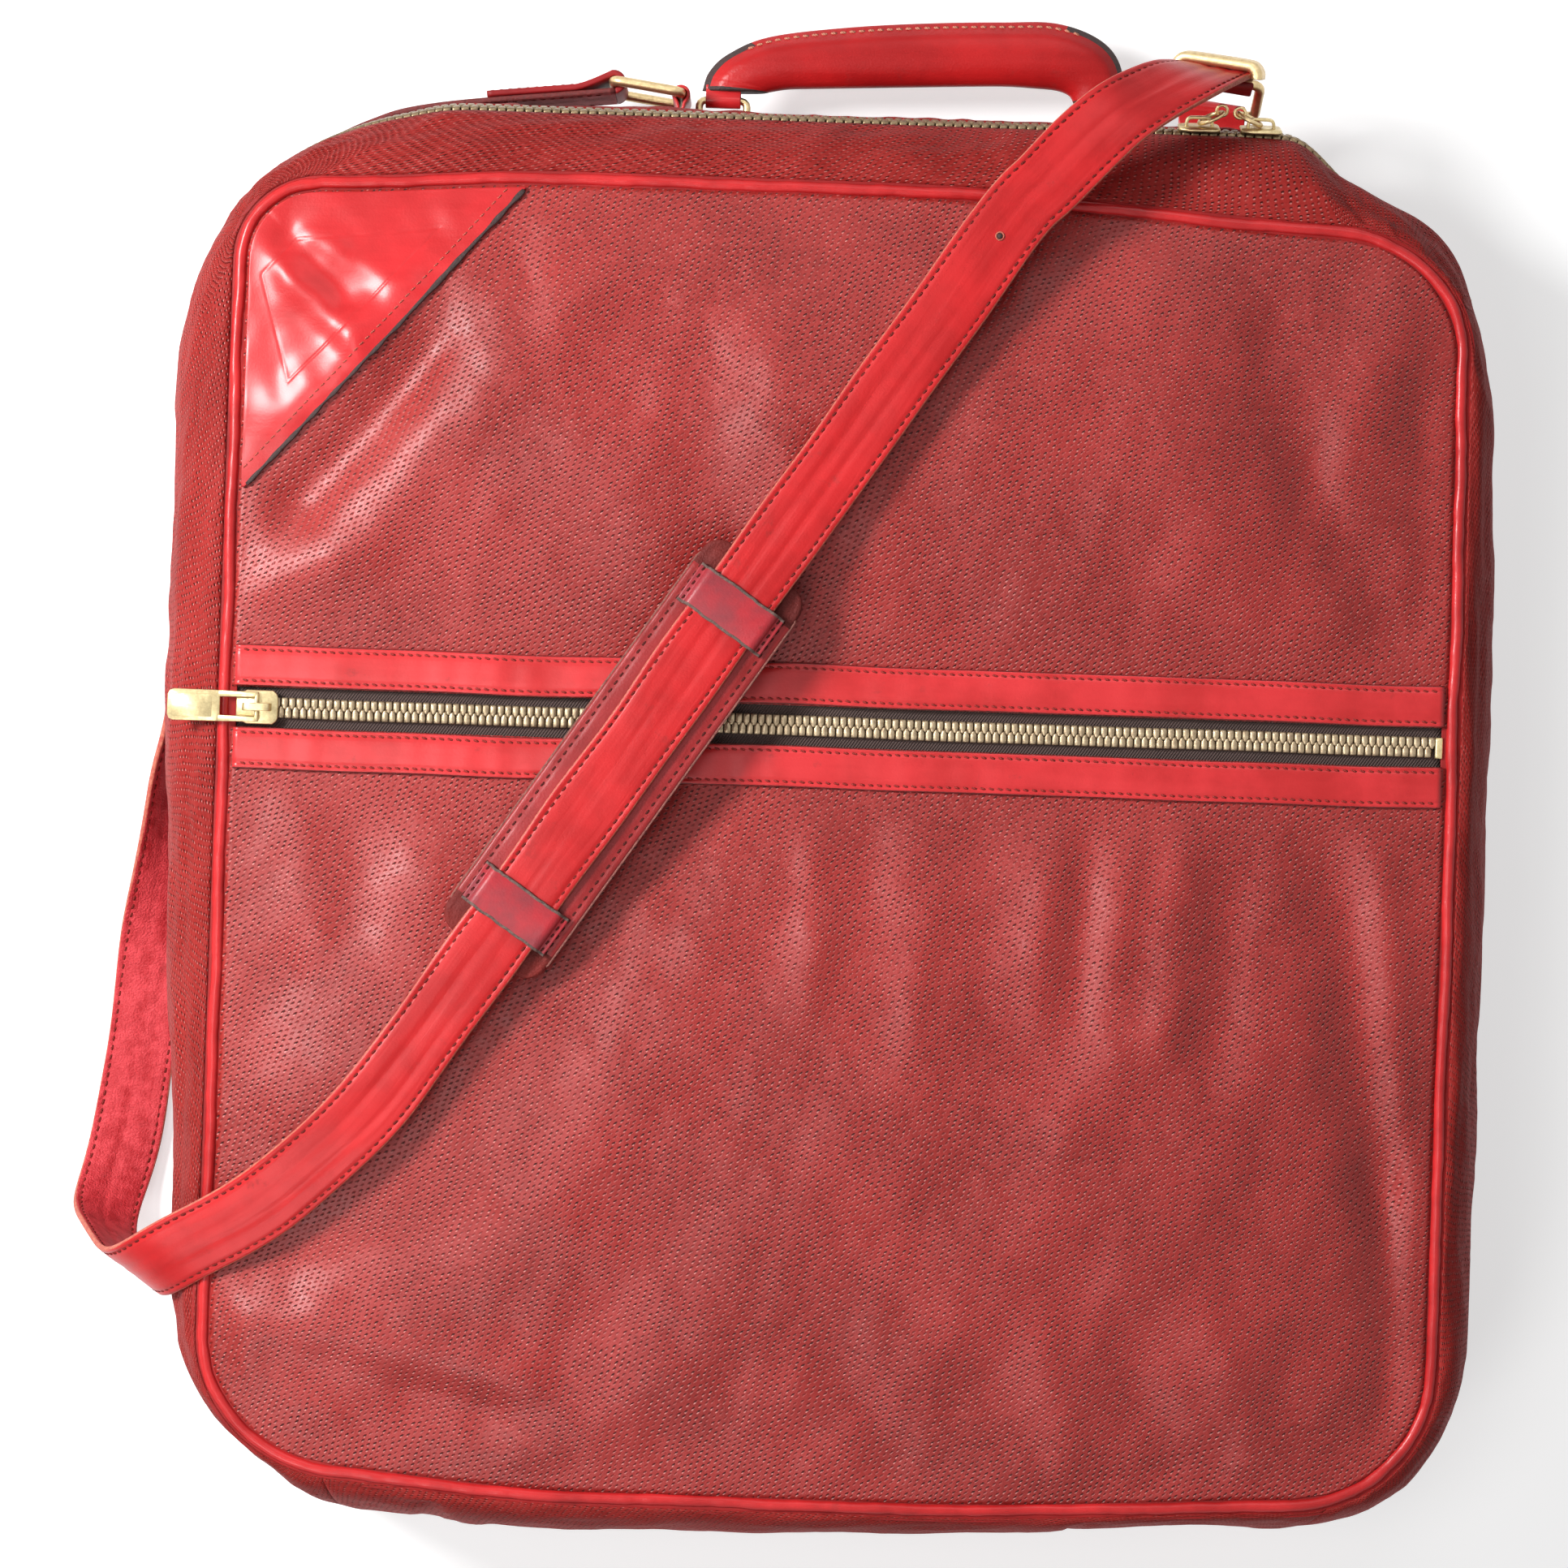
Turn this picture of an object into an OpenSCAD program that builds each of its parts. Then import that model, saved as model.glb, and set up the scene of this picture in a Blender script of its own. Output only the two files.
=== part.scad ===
// Red leather weekender bag, lying on its back panel.
// +Y runs to the top seam with the handle, +X to the right of the front, +Z out of the front.
// The origin is the middle of the back panel's outer face.

/* [Panels] */
// Width of the front and back panels over the piping centreline
panel_w = 470; // [450:2:500]
// Height of the front and back panels over the piping centreline
panel_h = 504; // [490:2:530]
// Depth of the bag between its front and back seams
bag_depth = 101; // [94:1:110]
// Radius of the panels' top left corner
corner_tl = 30; // [26:1:40]
// Radius of the panels' top right corner
corner_tr = 48; // [40:1:56]
// Radius of the panels' two bottom corners
corner_b = 52; // [44:1:60]
// Thickness of the coated canvas
canvas_t = 1.6; // [1.2:0.1:2]
// Radius of the piping cord with its cover
piping_r = 2.4; // [2:0.1:3]
// Rise of the stuffed upper part of the front
crown_upper = 15; // [8:1:16]
// Rise of the stuffed lower part of the front
crown_lower = 17; // [8:1:18]

/* [Gusset] */
// Bulge of the left side past the seams
bulge_left = 29; // [22:1:36]
// Bulge of the right side past the seams
bulge_right = 20; // [14:1:28]
// Bulge of the top past the seams
bulge_top = 35; // [30:1:40]
// Bulge of the bottom past the seams
bulge_bottom = 16; // [10:1:24]
// Radius of the bulged outline at the top left
soft_tl = 115; // [100:1:125]
// Radius across the bulged outline at the top right
soft_tr_x = 95; // [88:1:102]
// Radius up the bulged outline at the top right
soft_tr_y = 122; // [110:1:130]
// Radius of the bulged outline at the bottom corners
soft_b = 90; // [80:1:100]
// Thickness of the gusset material
gusset_t = 1.8; // [1.4:0.1:2.2]

/* [Front pocket] */
// Height of the front zip above the middle of the panel
zip_y = 46; // [30:1:60]
// Width of the slot between the canvas edges at the front zip
zip_slot = 15.5; // [14.5:0.5:18]
// Width of the leather band on each side of the front zip
band_w = 16; // [12:1:20]
// Thickness of the leather bands and of the corner patch
trim_t = 1.4; // [1:0.1:1.8]
// Width of one half of a zip tape
tape_w = 15; // [13:1:17]
// Thickness of the zip tapes
tape_t = 0.7; // [0.5:0.1:0.9]
// Pitch of the front zip's teeth
front_pitch = 2.85; // [2.6:0.05:3.1]
// Depth of the front pocket behind the panel
pocket_d = 8; // [7:1:12]
// Distance along the top seam from the left edge to the end of the corner patch
patch_x = 105; // [80:1:120]
// Distance down the left seam from the top to the end of the corner patch
patch_y = 122; // [90:1:140]

/* [Main zip] */
// Angle of the main zip round the gusset, from the front seam
main_phi = 60; // [56:1:64]
// Pitch of the main zip's teeth
main_pitch = 3.3; // [3:0.1:3.6]
// Distance from the right seam line to the outer slider of the main zip
slider_in = 79; // [78:0.5:86]
// Distance between the two sliders of the main zip
slider_step = 24; // [24:0.5:26]

/* [Zip sliders] */
// Length of a slider
slider_l = 16; // [15:0.5:17]
// Width of a slider
slider_w = 13; // [11:0.5:13.5]
// Height of the teeth above the tape
teeth_h = 2.3; // [2:0.1:2.6]
// Width of one row of teeth
teeth_w = 3.4; // [3:0.1:3.8]
// Length of the front slider's pull from its hinge
pull_l = 34; // [28:1:40]
// Width of the front slider's pull
pull_w = 12; // [10:0.5:13]
// Radius of the ring pulls on the main zip, to the middle of the wire
ring_pull_r = 5; // [4.6:0.1:5.2]

/* [Handle] */
// Middle of the left handle ring
handle_left_x = -54; // [-56:1:-50]
// Distance between the two handle rings
handle_span = 150; // [146:1:154]
// Height of the handle's hinge line above the back face
handle_z = 28; // [26:1:32]
// Length of a handle ring between its two bars
handle_ring_l = 8; // [7.6:0.2:10]
// Width of a handle ring between the middles of its side bars
handle_ring_w = 19; // [18:0.5:20]
// Radius of a handle ring's wire
ring_wire_r = 1.5; // [1.2:0.1:1.7]
// Height of the grip above the outer bars of the rings
grip_rise = 31; // [27:1:36]
// Thickness of the grip from front to back
grip_t = 15; // [12:1:17]
// Wall of the grip's leather cover
grip_wall = 2; // [1.5:0.1:2.5]

/* [Shoulder strap] */
// Width of the strap
strap_w = 28; // [25:1:30]
// Thickness of the strap
strap_t = 2.6; // [2:0.1:3]
// Height of the strap's middle above the front seams where it crosses the front
strap_rise = 23; // [22:0.5:29]
// Direction of the strap across the front, from the +X axis
strap_angle = 56.2; // [56:0.1:56.5]
// Length of the shoulder pad
pad_l = 180; // [160:2:190]
// Width of the shoulder pad
pad_w = 45; // [40:1:50]
// Thickness of the shoulder pad
pad_t = 3; // [2.4:0.1:3.2]
// Distance between the two keepers on the pad
keeper_step = 139; // [125:1:142]
// Length of a keeper along the strap
keeper_l = 17; // [14:1:20]
// Radius of the strap rings' wire
strap_wire_r = 2; // [1.6:0.1:2.2]
// Length of a strap ring between its two long bars
strap_ring_l = 27; // [25:0.5:28]

/* [Hidden] */

$fn = 48;
seam_gap = 0.2;
lay_gap = 0.1;
soft_gap = 0.4;
run_gap = 0.3;
half_d = bag_depth / 2;
seam_d = piping_r + seam_gap;
gusset_seam = seam_d + 0.4;
inner_edge = panel_w / 2 - seam_d;
side_left = -panel_w / 2 - bulge_left;
top_y = panel_h / 2 + bulge_top;

// Colours
canvas_red = [0.60, 0.17, 0.17];
leather_red = [0.78, 0.11, 0.14];
strap_red = [0.80, 0.16, 0.18];
lining_brown = [0.30, 0.20, 0.15];
tape_brown = [0.22, 0.12, 0.09];
brass = [0.62, 0.48, 0.26];

function mix(a, b, t) = a + (b - a) * t;
function unit(v) = v / norm(v);

// Outlines: [left, right, bottom, top, radii at top right, bottom right, bottom left, top left]
function panel_line(d) = [
    -panel_w / 2 - d, panel_w / 2 + d, -panel_h / 2 - d, panel_h / 2 + d,
    [corner_tr + d, corner_tr + d], [corner_b + d, corner_b + d],
    [corner_b + d, corner_b + d], [corner_tl + d, corner_tl + d]
];
bulge_line = [
    side_left, panel_w / 2 + bulge_right, -panel_h / 2 - bulge_bottom, top_y,
    [soft_tr_x, soft_tr_y], [soft_b, soft_b], [soft_b, soft_b], [soft_tl, soft_tl]
];
function arc_pt(x, y, r, a) = [x + r[0] * cos(a), y + r[1] * sin(a)];

// Point of an outline at u: whole numbers are the ends of its eight stretches, clockwise from
// the left end of the top
function on_line(o, u) =
    let (seg = floor(u) % 8, t = u - floor(u))
    seg == 0 ? [mix(o[0] + o[7][0], o[1] - o[4][0], t), o[3]]
    : seg == 1 ? arc_pt(o[1] - o[4][0], o[3] - o[4][1], o[4], 90 - 90 * t)
    : seg == 2 ? [o[1], mix(o[3] - o[4][1], o[2] + o[5][1], t)]
    : seg == 3 ? arc_pt(o[1] - o[5][0], o[2] + o[5][1], o[5], -90 * t)
    : seg == 4 ? [mix(o[1] - o[5][0], o[0] + o[6][0], t), o[2]]
    : seg == 5 ? arc_pt(o[0] + o[6][0], o[2] + o[6][1], o[6], -90 - 90 * t)
    : seg == 6 ? [o[0], mix(o[2] + o[6][1], o[3] - o[7][1], t)]
    : arc_pt(o[0] + o[7][0], o[3] - o[7][1], o[7], 180 - 90 * t);

// How far the bulged outline stands off the seam at u, square to the bulged outline
function bulge_rise(u) =
    let (
        off = on_line(bulge_line, u) - on_line(panel_line(gusset_seam), u),
        along = unit(on_line(bulge_line, u + 0.001) - on_line(bulge_line, u - 0.001))
    )
    abs(off[0] * along[1] - off[1] * along[0]);

// Point of the gusset at depth d under its outer face; phi runs from the front seam to the back
function gusset_pt(u, phi, d) =
    let (
        e = on_line(panel_line(gusset_seam), u),
        m = on_line(bulge_line, u),
        share = sin(phi) * (1 - d / bulge_rise(u))
    )
    [mix(e[0], m[0], share), mix(e[1], m[1], share), half_d + (half_d - d) * cos(phi)];

// Solid between two matching grids of points; outward is columns crossed with rows
module shell(outer, inner) {
    rows = len(outer);
    cols = len(outer[0]);
    n = rows * cols;
    skin_faces = [
        for (r = [0 : rows - 2], c = [0 : cols - 2])
            let (a = r * cols + c, b = a + 1, d = a + cols, e = d + 1)
            each [[a, e, b], [a, d, e]]
    ];
    rim = concat(
        [for (c = [0 : cols - 1]) c],
        [for (r = [1 : rows - 1]) r * cols + cols - 1],
        [for (c = [cols - 2 : -1 : 0]) (rows - 1) * cols + c],
        [for (r = [rows - 2 : -1 : 1]) r * cols]
    );
    rim_faces = [
        for (i = [0 : len(rim) - 1])
            let (a = rim[i], b = rim[(i + 1) % len(rim)])
            each [[a, b, b + n], [a, b + n, a + n]]
    ];
    polyhedron(
        points = concat([for (r = outer) each r], [for (r = inner) each r]),
        faces = concat(skin_faces, [for (f = skin_faces) [f[2] + n, f[1] + n, f[0] + n]], rim_faces)
    );
}

// Solid through a row of rings with equal counts; each ring turns right-handed about the path
module skin(rings) {
    k = len(rings[0]);
    last = (len(rings) - 1) * k;
    sides = [
        for (i = [0 : len(rings) - 2], j = [0 : k - 1])
            let (a = i * k + j, b = i * k + (j + 1) % k)
            each [[a, b + k, b], [a, a + k, b + k]]
    ];
    caps = [for (j = [1 : k - 2]) each [[0, j, j + 1], [last, last + j + 1, last + j]]];
    polyhedron(points = [for (r = rings) each r], faces = concat(sides, caps));
}

// Children placed with x along ex, z along ez and the origin at p
module placed(p, ex, ez) {
    x = unit(ex);
    z = unit(ez - (ez * x) * x);
    y = cross(z, x);
    multmatrix([
        [x[0], y[0], z[0], p[0]],
        [x[1], y[1], z[1], p[1]],
        [x[2], y[2], z[2], p[2]],
        [0, 0, 0, 1]
    ]) children();
}

// Corner radius of a panel outline on the stretch u, and the middle of that corner's circle
function corner_r(o, u) = o[u == 1 ? 4 : u == 3 ? 5 : u == 5 ? 6 : 7][0];
function corner_mid(o, u) =
    on_line(o, u + 0.5) - corner_r(o, u) * unit([u < 4 ? 1 : -1, u == 1 || u == 7 ? 1 : -1]);

// Flat slab with the outline of a panel
module plate(d, z0, z1) {
    o = panel_line(d);
    translate([0, 0, z0]) linear_extrude(z1 - z0) {
        polygon([for (u = [7 : -1 : 0]) each u % 2 == 0 ? [on_line(o, u)] : [corner_mid(o, u), on_line(o, u)]]);
        for (u = [1, 3, 5, 7]) translate(corner_mid(o, u)) circle(corner_r(o, u));
    }
}

// Front panel
function side_x(o, y, left) =
    let (
        top = left ? o[7][0] : o[4][0],
        low = left ? o[6][0] : o[5][0],
        over = min(top, max(0, y - (o[3] - top))),
        under = min(low, max(0, (o[2] + low) - y)),
        cut = over > 0 ? top - sqrt(top * top - over * over) : low - sqrt(low * low - under * under)
    )
    left ? o[0] + cut : o[1] - cut;

upper_flat = zip_y + zip_slot / 2 + band_w;
lower_flat = zip_y - zip_slot / 2 - band_w;
upper_end = panel_h / 2 - seam_d;
lower_end = -panel_h / 2 + seam_d;

// Rise of the stuffed front over its seams
function crown_at(x, y) =
    let (
        o = panel_line(-seam_d),
        up = y > zip_y,
        t = up ? (y - upper_flat) / (upper_end - upper_flat) : (y - lower_flat) / (lower_end - lower_flat),
        l = side_x(o, y, true),
        r = side_x(o, y, false),
        s = min(1, abs(2 * (x - l) / (r - l) - 1))
    )
    t <= 0 ? 0 : (up ? crown_upper : crown_lower) * (1 - s * s * s) * sin(180 * min(1, t));

lobe_rows = 10;
lobe_cols = 14;
module lobe(first, flat, end) {
    o = panel_line(-seam_d);
    ys = concat([first], [for (i = [0 : lobe_rows]) mix(flat, end, sin(90 * i / lobe_rows))]);
    rows_y = end > first ? ys : [for (i = [len(ys) - 1 : -1 : 0]) ys[i]];
    grid = [
        for (y = rows_y) [
            for (j = [0 : lobe_cols])
                let (x = mix(side_x(o, y, true), side_x(o, y, false), (1 - cos(180 * j / lobe_cols)) / 2))
                [x, y, bag_depth + crown_at(x, y)]
        ]
    ];
    shell(grid, [for (r = grid) [for (p = r) p - [0, 0, canvas_t]]]);
}

module front_panel_upper() {
    color(canvas_red) lobe(zip_y + zip_slot / 2, upper_flat, upper_end);
}

module front_panel_lower() {
    color(canvas_red) lobe(zip_y - zip_slot / 2, lower_flat, lower_end);
}

patch_rows = 9;
patch_cols = 8;
patch_edge = 1;
module corner_patch() {
    o = panel_line(-seam_d - patch_edge);
    y_low = panel_h / 2 - patch_y;
    y_high = o[3];
    grid = [
        for (i = [0 : patch_rows])
            let (
                y = mix(y_low, y_high, sin(90 * i / patch_rows)),
                left = side_x(o, y, true),
                right = mix(o[0] + patch_edge, o[0] + patch_x, (y - y_low) / (y_high - y_low))
            ) [
                for (j = [0 : patch_cols])
                    let (x = mix(left, max(right, left + patch_edge), j / patch_cols))
                    [x, y, bag_depth + crown_at(x, y) + soft_gap + trim_t]
            ]
    ];
    color(leather_red) shell(grid, [for (r = grid) [for (p = r) p - [0, 0, trim_t]]]);
}

band_inset = 1;
module zip_band(y) {
    color(leather_red)
        translate([-inner_edge + band_inset, y, bag_depth + lay_gap])
            cube([2 * (inner_edge - band_inset), band_w, trim_t]);
}

module zip_band_upper() {
    zip_band(zip_y + zip_slot / 2);
}

module zip_band_lower() {
    zip_band(lower_flat);
}

// The pocket's lining is a shallow tray that hangs behind the lower front
lining_t = 0.8;
tray_gap = 7;
module tray_block(inset, z0, z1) {
    r = corner_b;
    l = -panel_w / 2 + tray_gap + inset;
    b = -panel_h / 2 + tray_gap + inset;
    t = zip_y - zip_gap - tape_w - 1 - inset;
    translate([0, 0, z0]) linear_extrude(z1 - z0) {
        translate([l + r, b]) square([-2 * (l + r), t - b]);
        translate([l, b + r]) square([-2 * l, t - b - r]);
        for (s = [-1, 1]) translate([s * (l + r), b + r]) circle(r);
    }
}

module pocket_lining() {
    z_top = bag_depth - canvas_t - seam_gap;
    color(lining_brown) difference() {
        tray_block(0, z_top - pocket_d, z_top);
        tray_block(lining_t, z_top - pocket_d + lining_t, z_top + 1);
    }
}

// Piping along both seams
module piping(z) {
    o = panel_line(0);
    color(leather_red) translate([0, 0, z]) {
        for (u = [0, 2, 4, 6]) {
            a = on_line(o, u);
            b = on_line(o, u + 0.999999);
            placed([a[0], a[1], 0], [0, 0, 1], [b[0] - a[0], b[1] - a[1], 0])
                cylinder(r = piping_r, h = norm(b - a));
        }
        for (u = [1, 3, 5, 7])
            translate(corner_mid(o, u))
                rotate([0, 0, u == 1 ? 0 : u == 3 ? -90 : u == 5 ? 180 : 90])
                    rotate_extrude(angle = 90) translate([corner_r(o, u), 0]) circle(piping_r);
    }
}

piping_sink = 1;
module front_piping() {
    piping(bag_depth - piping_sink);
}

module back_piping() {
    piping(piping_r);
}

module back_panel() {
    color(canvas_red) plate(-seam_d, 0, canvas_t);
}

back_lining_z = canvas_t + lay_gap;
module back_lining() {
    color(lining_brown) plate(-seam_d - 2, back_lining_z, back_lining_z + lining_t);
}

// Stiff board along the bottom of the bag
board_t = 3;
module base_board() {
    w = panel_w / 2 - corner_b - 6;
    z0 = back_lining_z + lining_t + lay_gap;
    color(lining_brown)
        translate([-w, lower_end + 4, z0])
            cube([2 * w, board_t, bag_depth - canvas_t - pocket_d - lining_t - z0 - 2]);
}

// Gusset pieces
top_from = 7.35;
top_to = 9.7;
bottom_from = 3.84;
bottom_to = 5.05;
slot_front = main_phi - 8;
slot_back = main_phi + 8;
back_steps = 12;
phi_steps = 14;
phi_all = [for (i = [0 : phi_steps]) 180 * i / phi_steps];
// Stations from one u to another: both ends, the ends of the stretches and steps in the corners
corner_steps = 8;
function stations(from, to) =
    concat([from], [
        for (k = [ceil(from * corner_steps + 0.01) : floor(to * corner_steps - 0.01)])
            if (floor(k / corner_steps) % 2 == 1 || k % corner_steps == 0) k / corner_steps
    ], [to]);

module gusset(from, to, phis, d0, d1) {
    us = stations(from, to);
    shell(
        [for (phi = phis) [for (u = us) gusset_pt(u, phi, d0)]],
        [for (phi = phis) [for (u = us) gusset_pt(u, phi, d1)]]
    );
}

module side_gusset_left() {
    color(canvas_red) gusset(bottom_to, top_from, phi_all, 0, gusset_t);
}

module side_gusset_right() {
    color(canvas_red) gusset(top_to - 8, bottom_from, phi_all, 0, gusset_t);
}

module bottom_gusset() {
    color(canvas_red) gusset(bottom_from, bottom_to, phi_all, 0, gusset_t);
}

module top_gusset_front() {
    color(canvas_red)
        gusset(top_from, top_to, [for (i = [0 : 4]) slot_front * i / 4], 0, gusset_t);
}

// The back strip has slits that the handle's and the strap rings' chapes pass through
module top_gusset_back() {
    color(canvas_red) difference() {
        gusset(top_from, top_to, [for (i = [0 : back_steps]) mix(slot_back, 180, i / back_steps)], 0, gusset_t);
        for (x = handle_xs) handle_leg(x, seam_gap);
        left_chape_leg(seam_gap);
        right_chape_leg(seam_gap);
    }
}

// Front zip
front_tape_z = bag_depth - canvas_t - lay_gap;
zip_gap = 0.6;
tape_inset = 1.2;
module front_tape(up) {
    color(tape_brown)
        translate([-inner_edge + tape_inset, up ? zip_y + zip_gap : zip_y - zip_gap - tape_w, front_tape_z - tape_t])
            cube([2 * (inner_edge - tape_inset), tape_w, tape_t]);
}

module front_zip_tape_upper() {
    front_tape(true);
}

module front_zip_tape_lower() {
    front_tape(false);
}

// One row of teeth as a comb, from x0 to x1, on the +y side of the line y = 0
module comb(x0, x1, pitch, shift) {
    n = floor((x1 - x0) / pitch - shift);
    root = teeth_w * 0.45;
    linear_extrude(teeth_h) polygon(concat(
        [[x0, teeth_w + zip_gap], [x0, zip_gap + root]],
        [
            for (i = [0 : n - 1])
                let (x = x0 + (i + shift + 0.2) * pitch)
                each [
                    [x, zip_gap + root], [x, zip_gap],
                    [x + pitch * 0.55, zip_gap], [x + pitch * 0.55, zip_gap + root]
                ]
        ],
        [[x1, zip_gap + root], [x1, teeth_w + zip_gap]]
    ));
}

front_chain_x0 = -inner_edge + 2;
front_chain_x1 = inner_edge - 4.5;
module front_zip_teeth_upper() {
    color(brass) translate([0, zip_y, front_tape_z + lay_gap / 2])
        comb(front_chain_x0, front_chain_x1, front_pitch, 0);
}

module front_zip_teeth_lower() {
    color(brass) translate([0, zip_y, front_tape_z + lay_gap / 2]) mirror([0, 1, 0])
        comb(front_chain_x0, front_chain_x1, front_pitch, 0.5);
}

// Bottom stop that joins the two rows of the front zip
stop_l = 3;
module front_zip_stop() {
    w = teeth_w + zip_gap;
    color(brass) translate([front_chain_x1 + seam_gap, zip_y - w, front_tape_z + lay_gap / 2])
        cube([stop_l, 2 * w, teeth_h]);
}

// Slider round a chain whose tape top is z = 0: two plates, the wedge between them and the bail
plate_t = 1.5;
bottom_t = 1.2;
wedge_l = 6;
wedge_t = 0.8;
bail_x = 4.4;
bail_post = 1.2;
bail_wire = 1.4;
crossbar_r = 0.85;
slider_top = teeth_h + run_gap + plate_t;
hinge_h = slider_top + crossbar_r + seam_gap + 0.2;
bail_in = hinge_h + crossbar_r + soft_gap;
module slider(bail_w) {
    nose = slider_l / 4;
    z_low = -tape_t - run_gap - bottom_t;
    color(brass) {
        for (z = [[z_low, bottom_t, slider_w - 3], [slider_top - plate_t, plate_t, slider_w]])
            translate([0, 0, z[0]]) linear_extrude(z[1]) polygon([
                [-slider_l / 2, -z[2] / 3], [-slider_l / 2, z[2] / 3],
                [-nose, z[2] / 2], [slider_l / 2 - nose / 2, z[2] / 2], [slider_l / 2, z[2] / 3],
                [slider_l / 2, -z[2] / 3], [slider_l / 2 - nose / 2, -z[2] / 2], [-nose, -z[2] / 2]
            ]);
        translate([-wedge_l / 2, -wedge_t / 2, z_low]) cube([wedge_l, wedge_t, slider_top - z_low]);
        for (s = [-1, 1])
            translate([s * (bail_x + bail_post / 2) - bail_post / 2, -bail_w / 2, slider_top])
                cube([bail_post, bail_w, bail_in - slider_top]);
        translate([-bail_x - bail_post, -bail_w / 2, bail_in])
            cube([2 * (bail_x + bail_post), bail_w, bail_wire]);
    }
}

front_slider_x = front_chain_x0 + slider_l / 2;
module front_zip_slider() {
    translate([front_slider_x, zip_y, front_tape_z]) slider(3);
}

// Forked pull that lies flat towards the left
pull_t = 1.4;
fork_l = 14;
arm_w = 2.6;
module front_zip_pull() {
    color(brass) translate([front_slider_x, zip_y, front_tape_z + hinge_h]) {
        translate([0, pull_w / 2, 0]) rotate([90, 0, 0]) cylinder(r = crossbar_r, h = pull_w);
        for (s = [-1, 1])
            translate([-fork_l, s * (pull_w - arm_w) / 2 - arm_w / 2, -pull_t / 2])
                cube([fork_l, arm_w, pull_t]);
        translate([-pull_l + pull_w / 4, -pull_w / 2, -pull_t / 2])
            cube([pull_l - fork_l - pull_w / 4, pull_w, pull_t]);
        for (s = [-1, 1])
            translate([-pull_l + pull_w / 4, s * pull_w / 4, -pull_t / 2])
                cylinder(r = pull_w / 4, h = pull_t);
        translate([-pull_l, -pull_w / 4, -pull_t / 2]) cube([pull_w / 4, pull_w / 2, pull_t]);
    }
}

// Main zip round the top of the gusset
main_tape_d = gusset_t + soft_gap;
tape_phis = 10;
module main_tape(phi0, phi1) {
    color(tape_brown)
        gusset(top_from + 0.02, top_to - 0.02,
            [for (i = [0 : 2]) mix(phi0, phi1, i / 2)], main_tape_d, main_tape_d + tape_t);
}

// Half of the gap between the two tapes, as an angle round the gusset
profile_rise = norm(gusset_pt(0.5, main_phi + 0.5, 0) - gusset_pt(0.5, main_phi - 0.5, 0));
gap_phi = zip_gap / profile_rise;
tape_phi = tape_w / profile_rise;
module main_zip_tape_front() {
    main_tape(main_phi - tape_phi, main_phi - gap_phi);
}

module main_zip_tape_back() {
    main_tape(main_phi + gap_phi, main_phi + tape_phi);
}

// Frame of the main chain at u: the point, the way along the chain and the way out
function chain_pt(u) = gusset_pt(u, main_phi, main_tape_d);
function chain_along(u) = unit(chain_pt(u + 0.004) - chain_pt(u - 0.004));
function chain_out(u) =
    unit(cross(chain_along(u), gusset_pt(u, main_phi + 1, main_tape_d) - gusset_pt(u, main_phi - 1, main_tape_d)));

chain_line = chain_pt(8.5);
chain_normal = chain_out(8.5);
chain_x0 = chain_pt(8)[0];
chain_x1 = chain_pt(8.999)[0];
chain_lift = seam_gap;
module on_chain(x) {
    placed([x, chain_line[1], chain_line[2]] + chain_lift * chain_normal, [1, 0, 0], chain_normal) children();
}

// Teeth of the straight stretch are one comb; those round the corners are single blocks
module main_teeth(front) {
    side = front ? 1 : 0;
    color(brass) {
        on_chain(0) mirror([0, side, 0])
            comb(chain_x0 + main_pitch, chain_x1 - main_pitch, main_pitch, front ? 0 : 0.5);
        for (part = [[top_from + 0.06, 8], [9, top_to - 0.06]]) {
            span = norm(chain_pt(part[1] - 0.001) - chain_pt(part[0]));
            n = floor(span * 1.04 / main_pitch);
            for (i = [0 : n - 1]) {
                u = mix(part[0], part[1], (i + (front ? 0.25 : 0.75)) / n);
                placed(chain_pt(u) + chain_lift * chain_out(u), chain_along(u), chain_out(u))
                    mirror([0, side, 0])
                        translate([-main_pitch * 0.28, zip_gap, 0])
                            cube([main_pitch * 0.56, teeth_w, teeth_h]);
            }
        }
    }
}

module main_zip_teeth_front() {
    main_teeth(true);
}

module main_zip_teeth_back() {
    main_teeth(false);
}

module main_zip_stops() {
    color(brass) for (u = [top_from + 0.035, top_to - 0.035])
        placed(chain_pt(u) + chain_lift * chain_out(u), chain_along(u), chain_out(u))
            translate([-1.2, -teeth_w - zip_gap, 0]) cube([2.4, 2 * (teeth_w + zip_gap), teeth_h]);
}

slider_b_x = panel_w / 2 - slider_in;
slider_a_x = slider_b_x - slider_step;
ring_bail_w = 2;
module main_zip_slider_a() {
    on_chain(slider_a_x) translate([0, 0, -chain_lift]) slider(ring_bail_w);
}

module main_zip_slider_b() {
    on_chain(slider_b_x) translate([0, 0, -chain_lift]) slider(ring_bail_w);
}

// Ring pull that stands out from its bail and leans towards the other slider
pull_lean = 25;
module ring_pull(lean) {
    color(brass) translate([0, 0, hinge_h]) rotate([0, -lean, 0]) translate([ring_pull_r, 0, 0])
        rotate_extrude() translate([ring_pull_r, 0]) circle(crossbar_r, $fn = 24);
}

module main_zip_pull_a() {
    on_chain(slider_a_x) translate([0, 0, -chain_lift]) ring_pull(pull_lean);
}

module main_zip_pull_b() {
    on_chain(slider_b_x) translate([0, 0, -chain_lift]) ring_pull(180 - pull_lean);
}

// Handle: chapes on the back strip, two wire rings, and the grip with its rope core
handle_xs = [handle_left_x, handle_left_x + handle_span];
cover_t = 1.3;
eye_in = ring_wire_r + run_gap;
eye_out = eye_in + cover_t;
chape_w = handle_ring_w - 2 * ring_wire_r - 2;
leg_t = 2 * cover_t;
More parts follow.
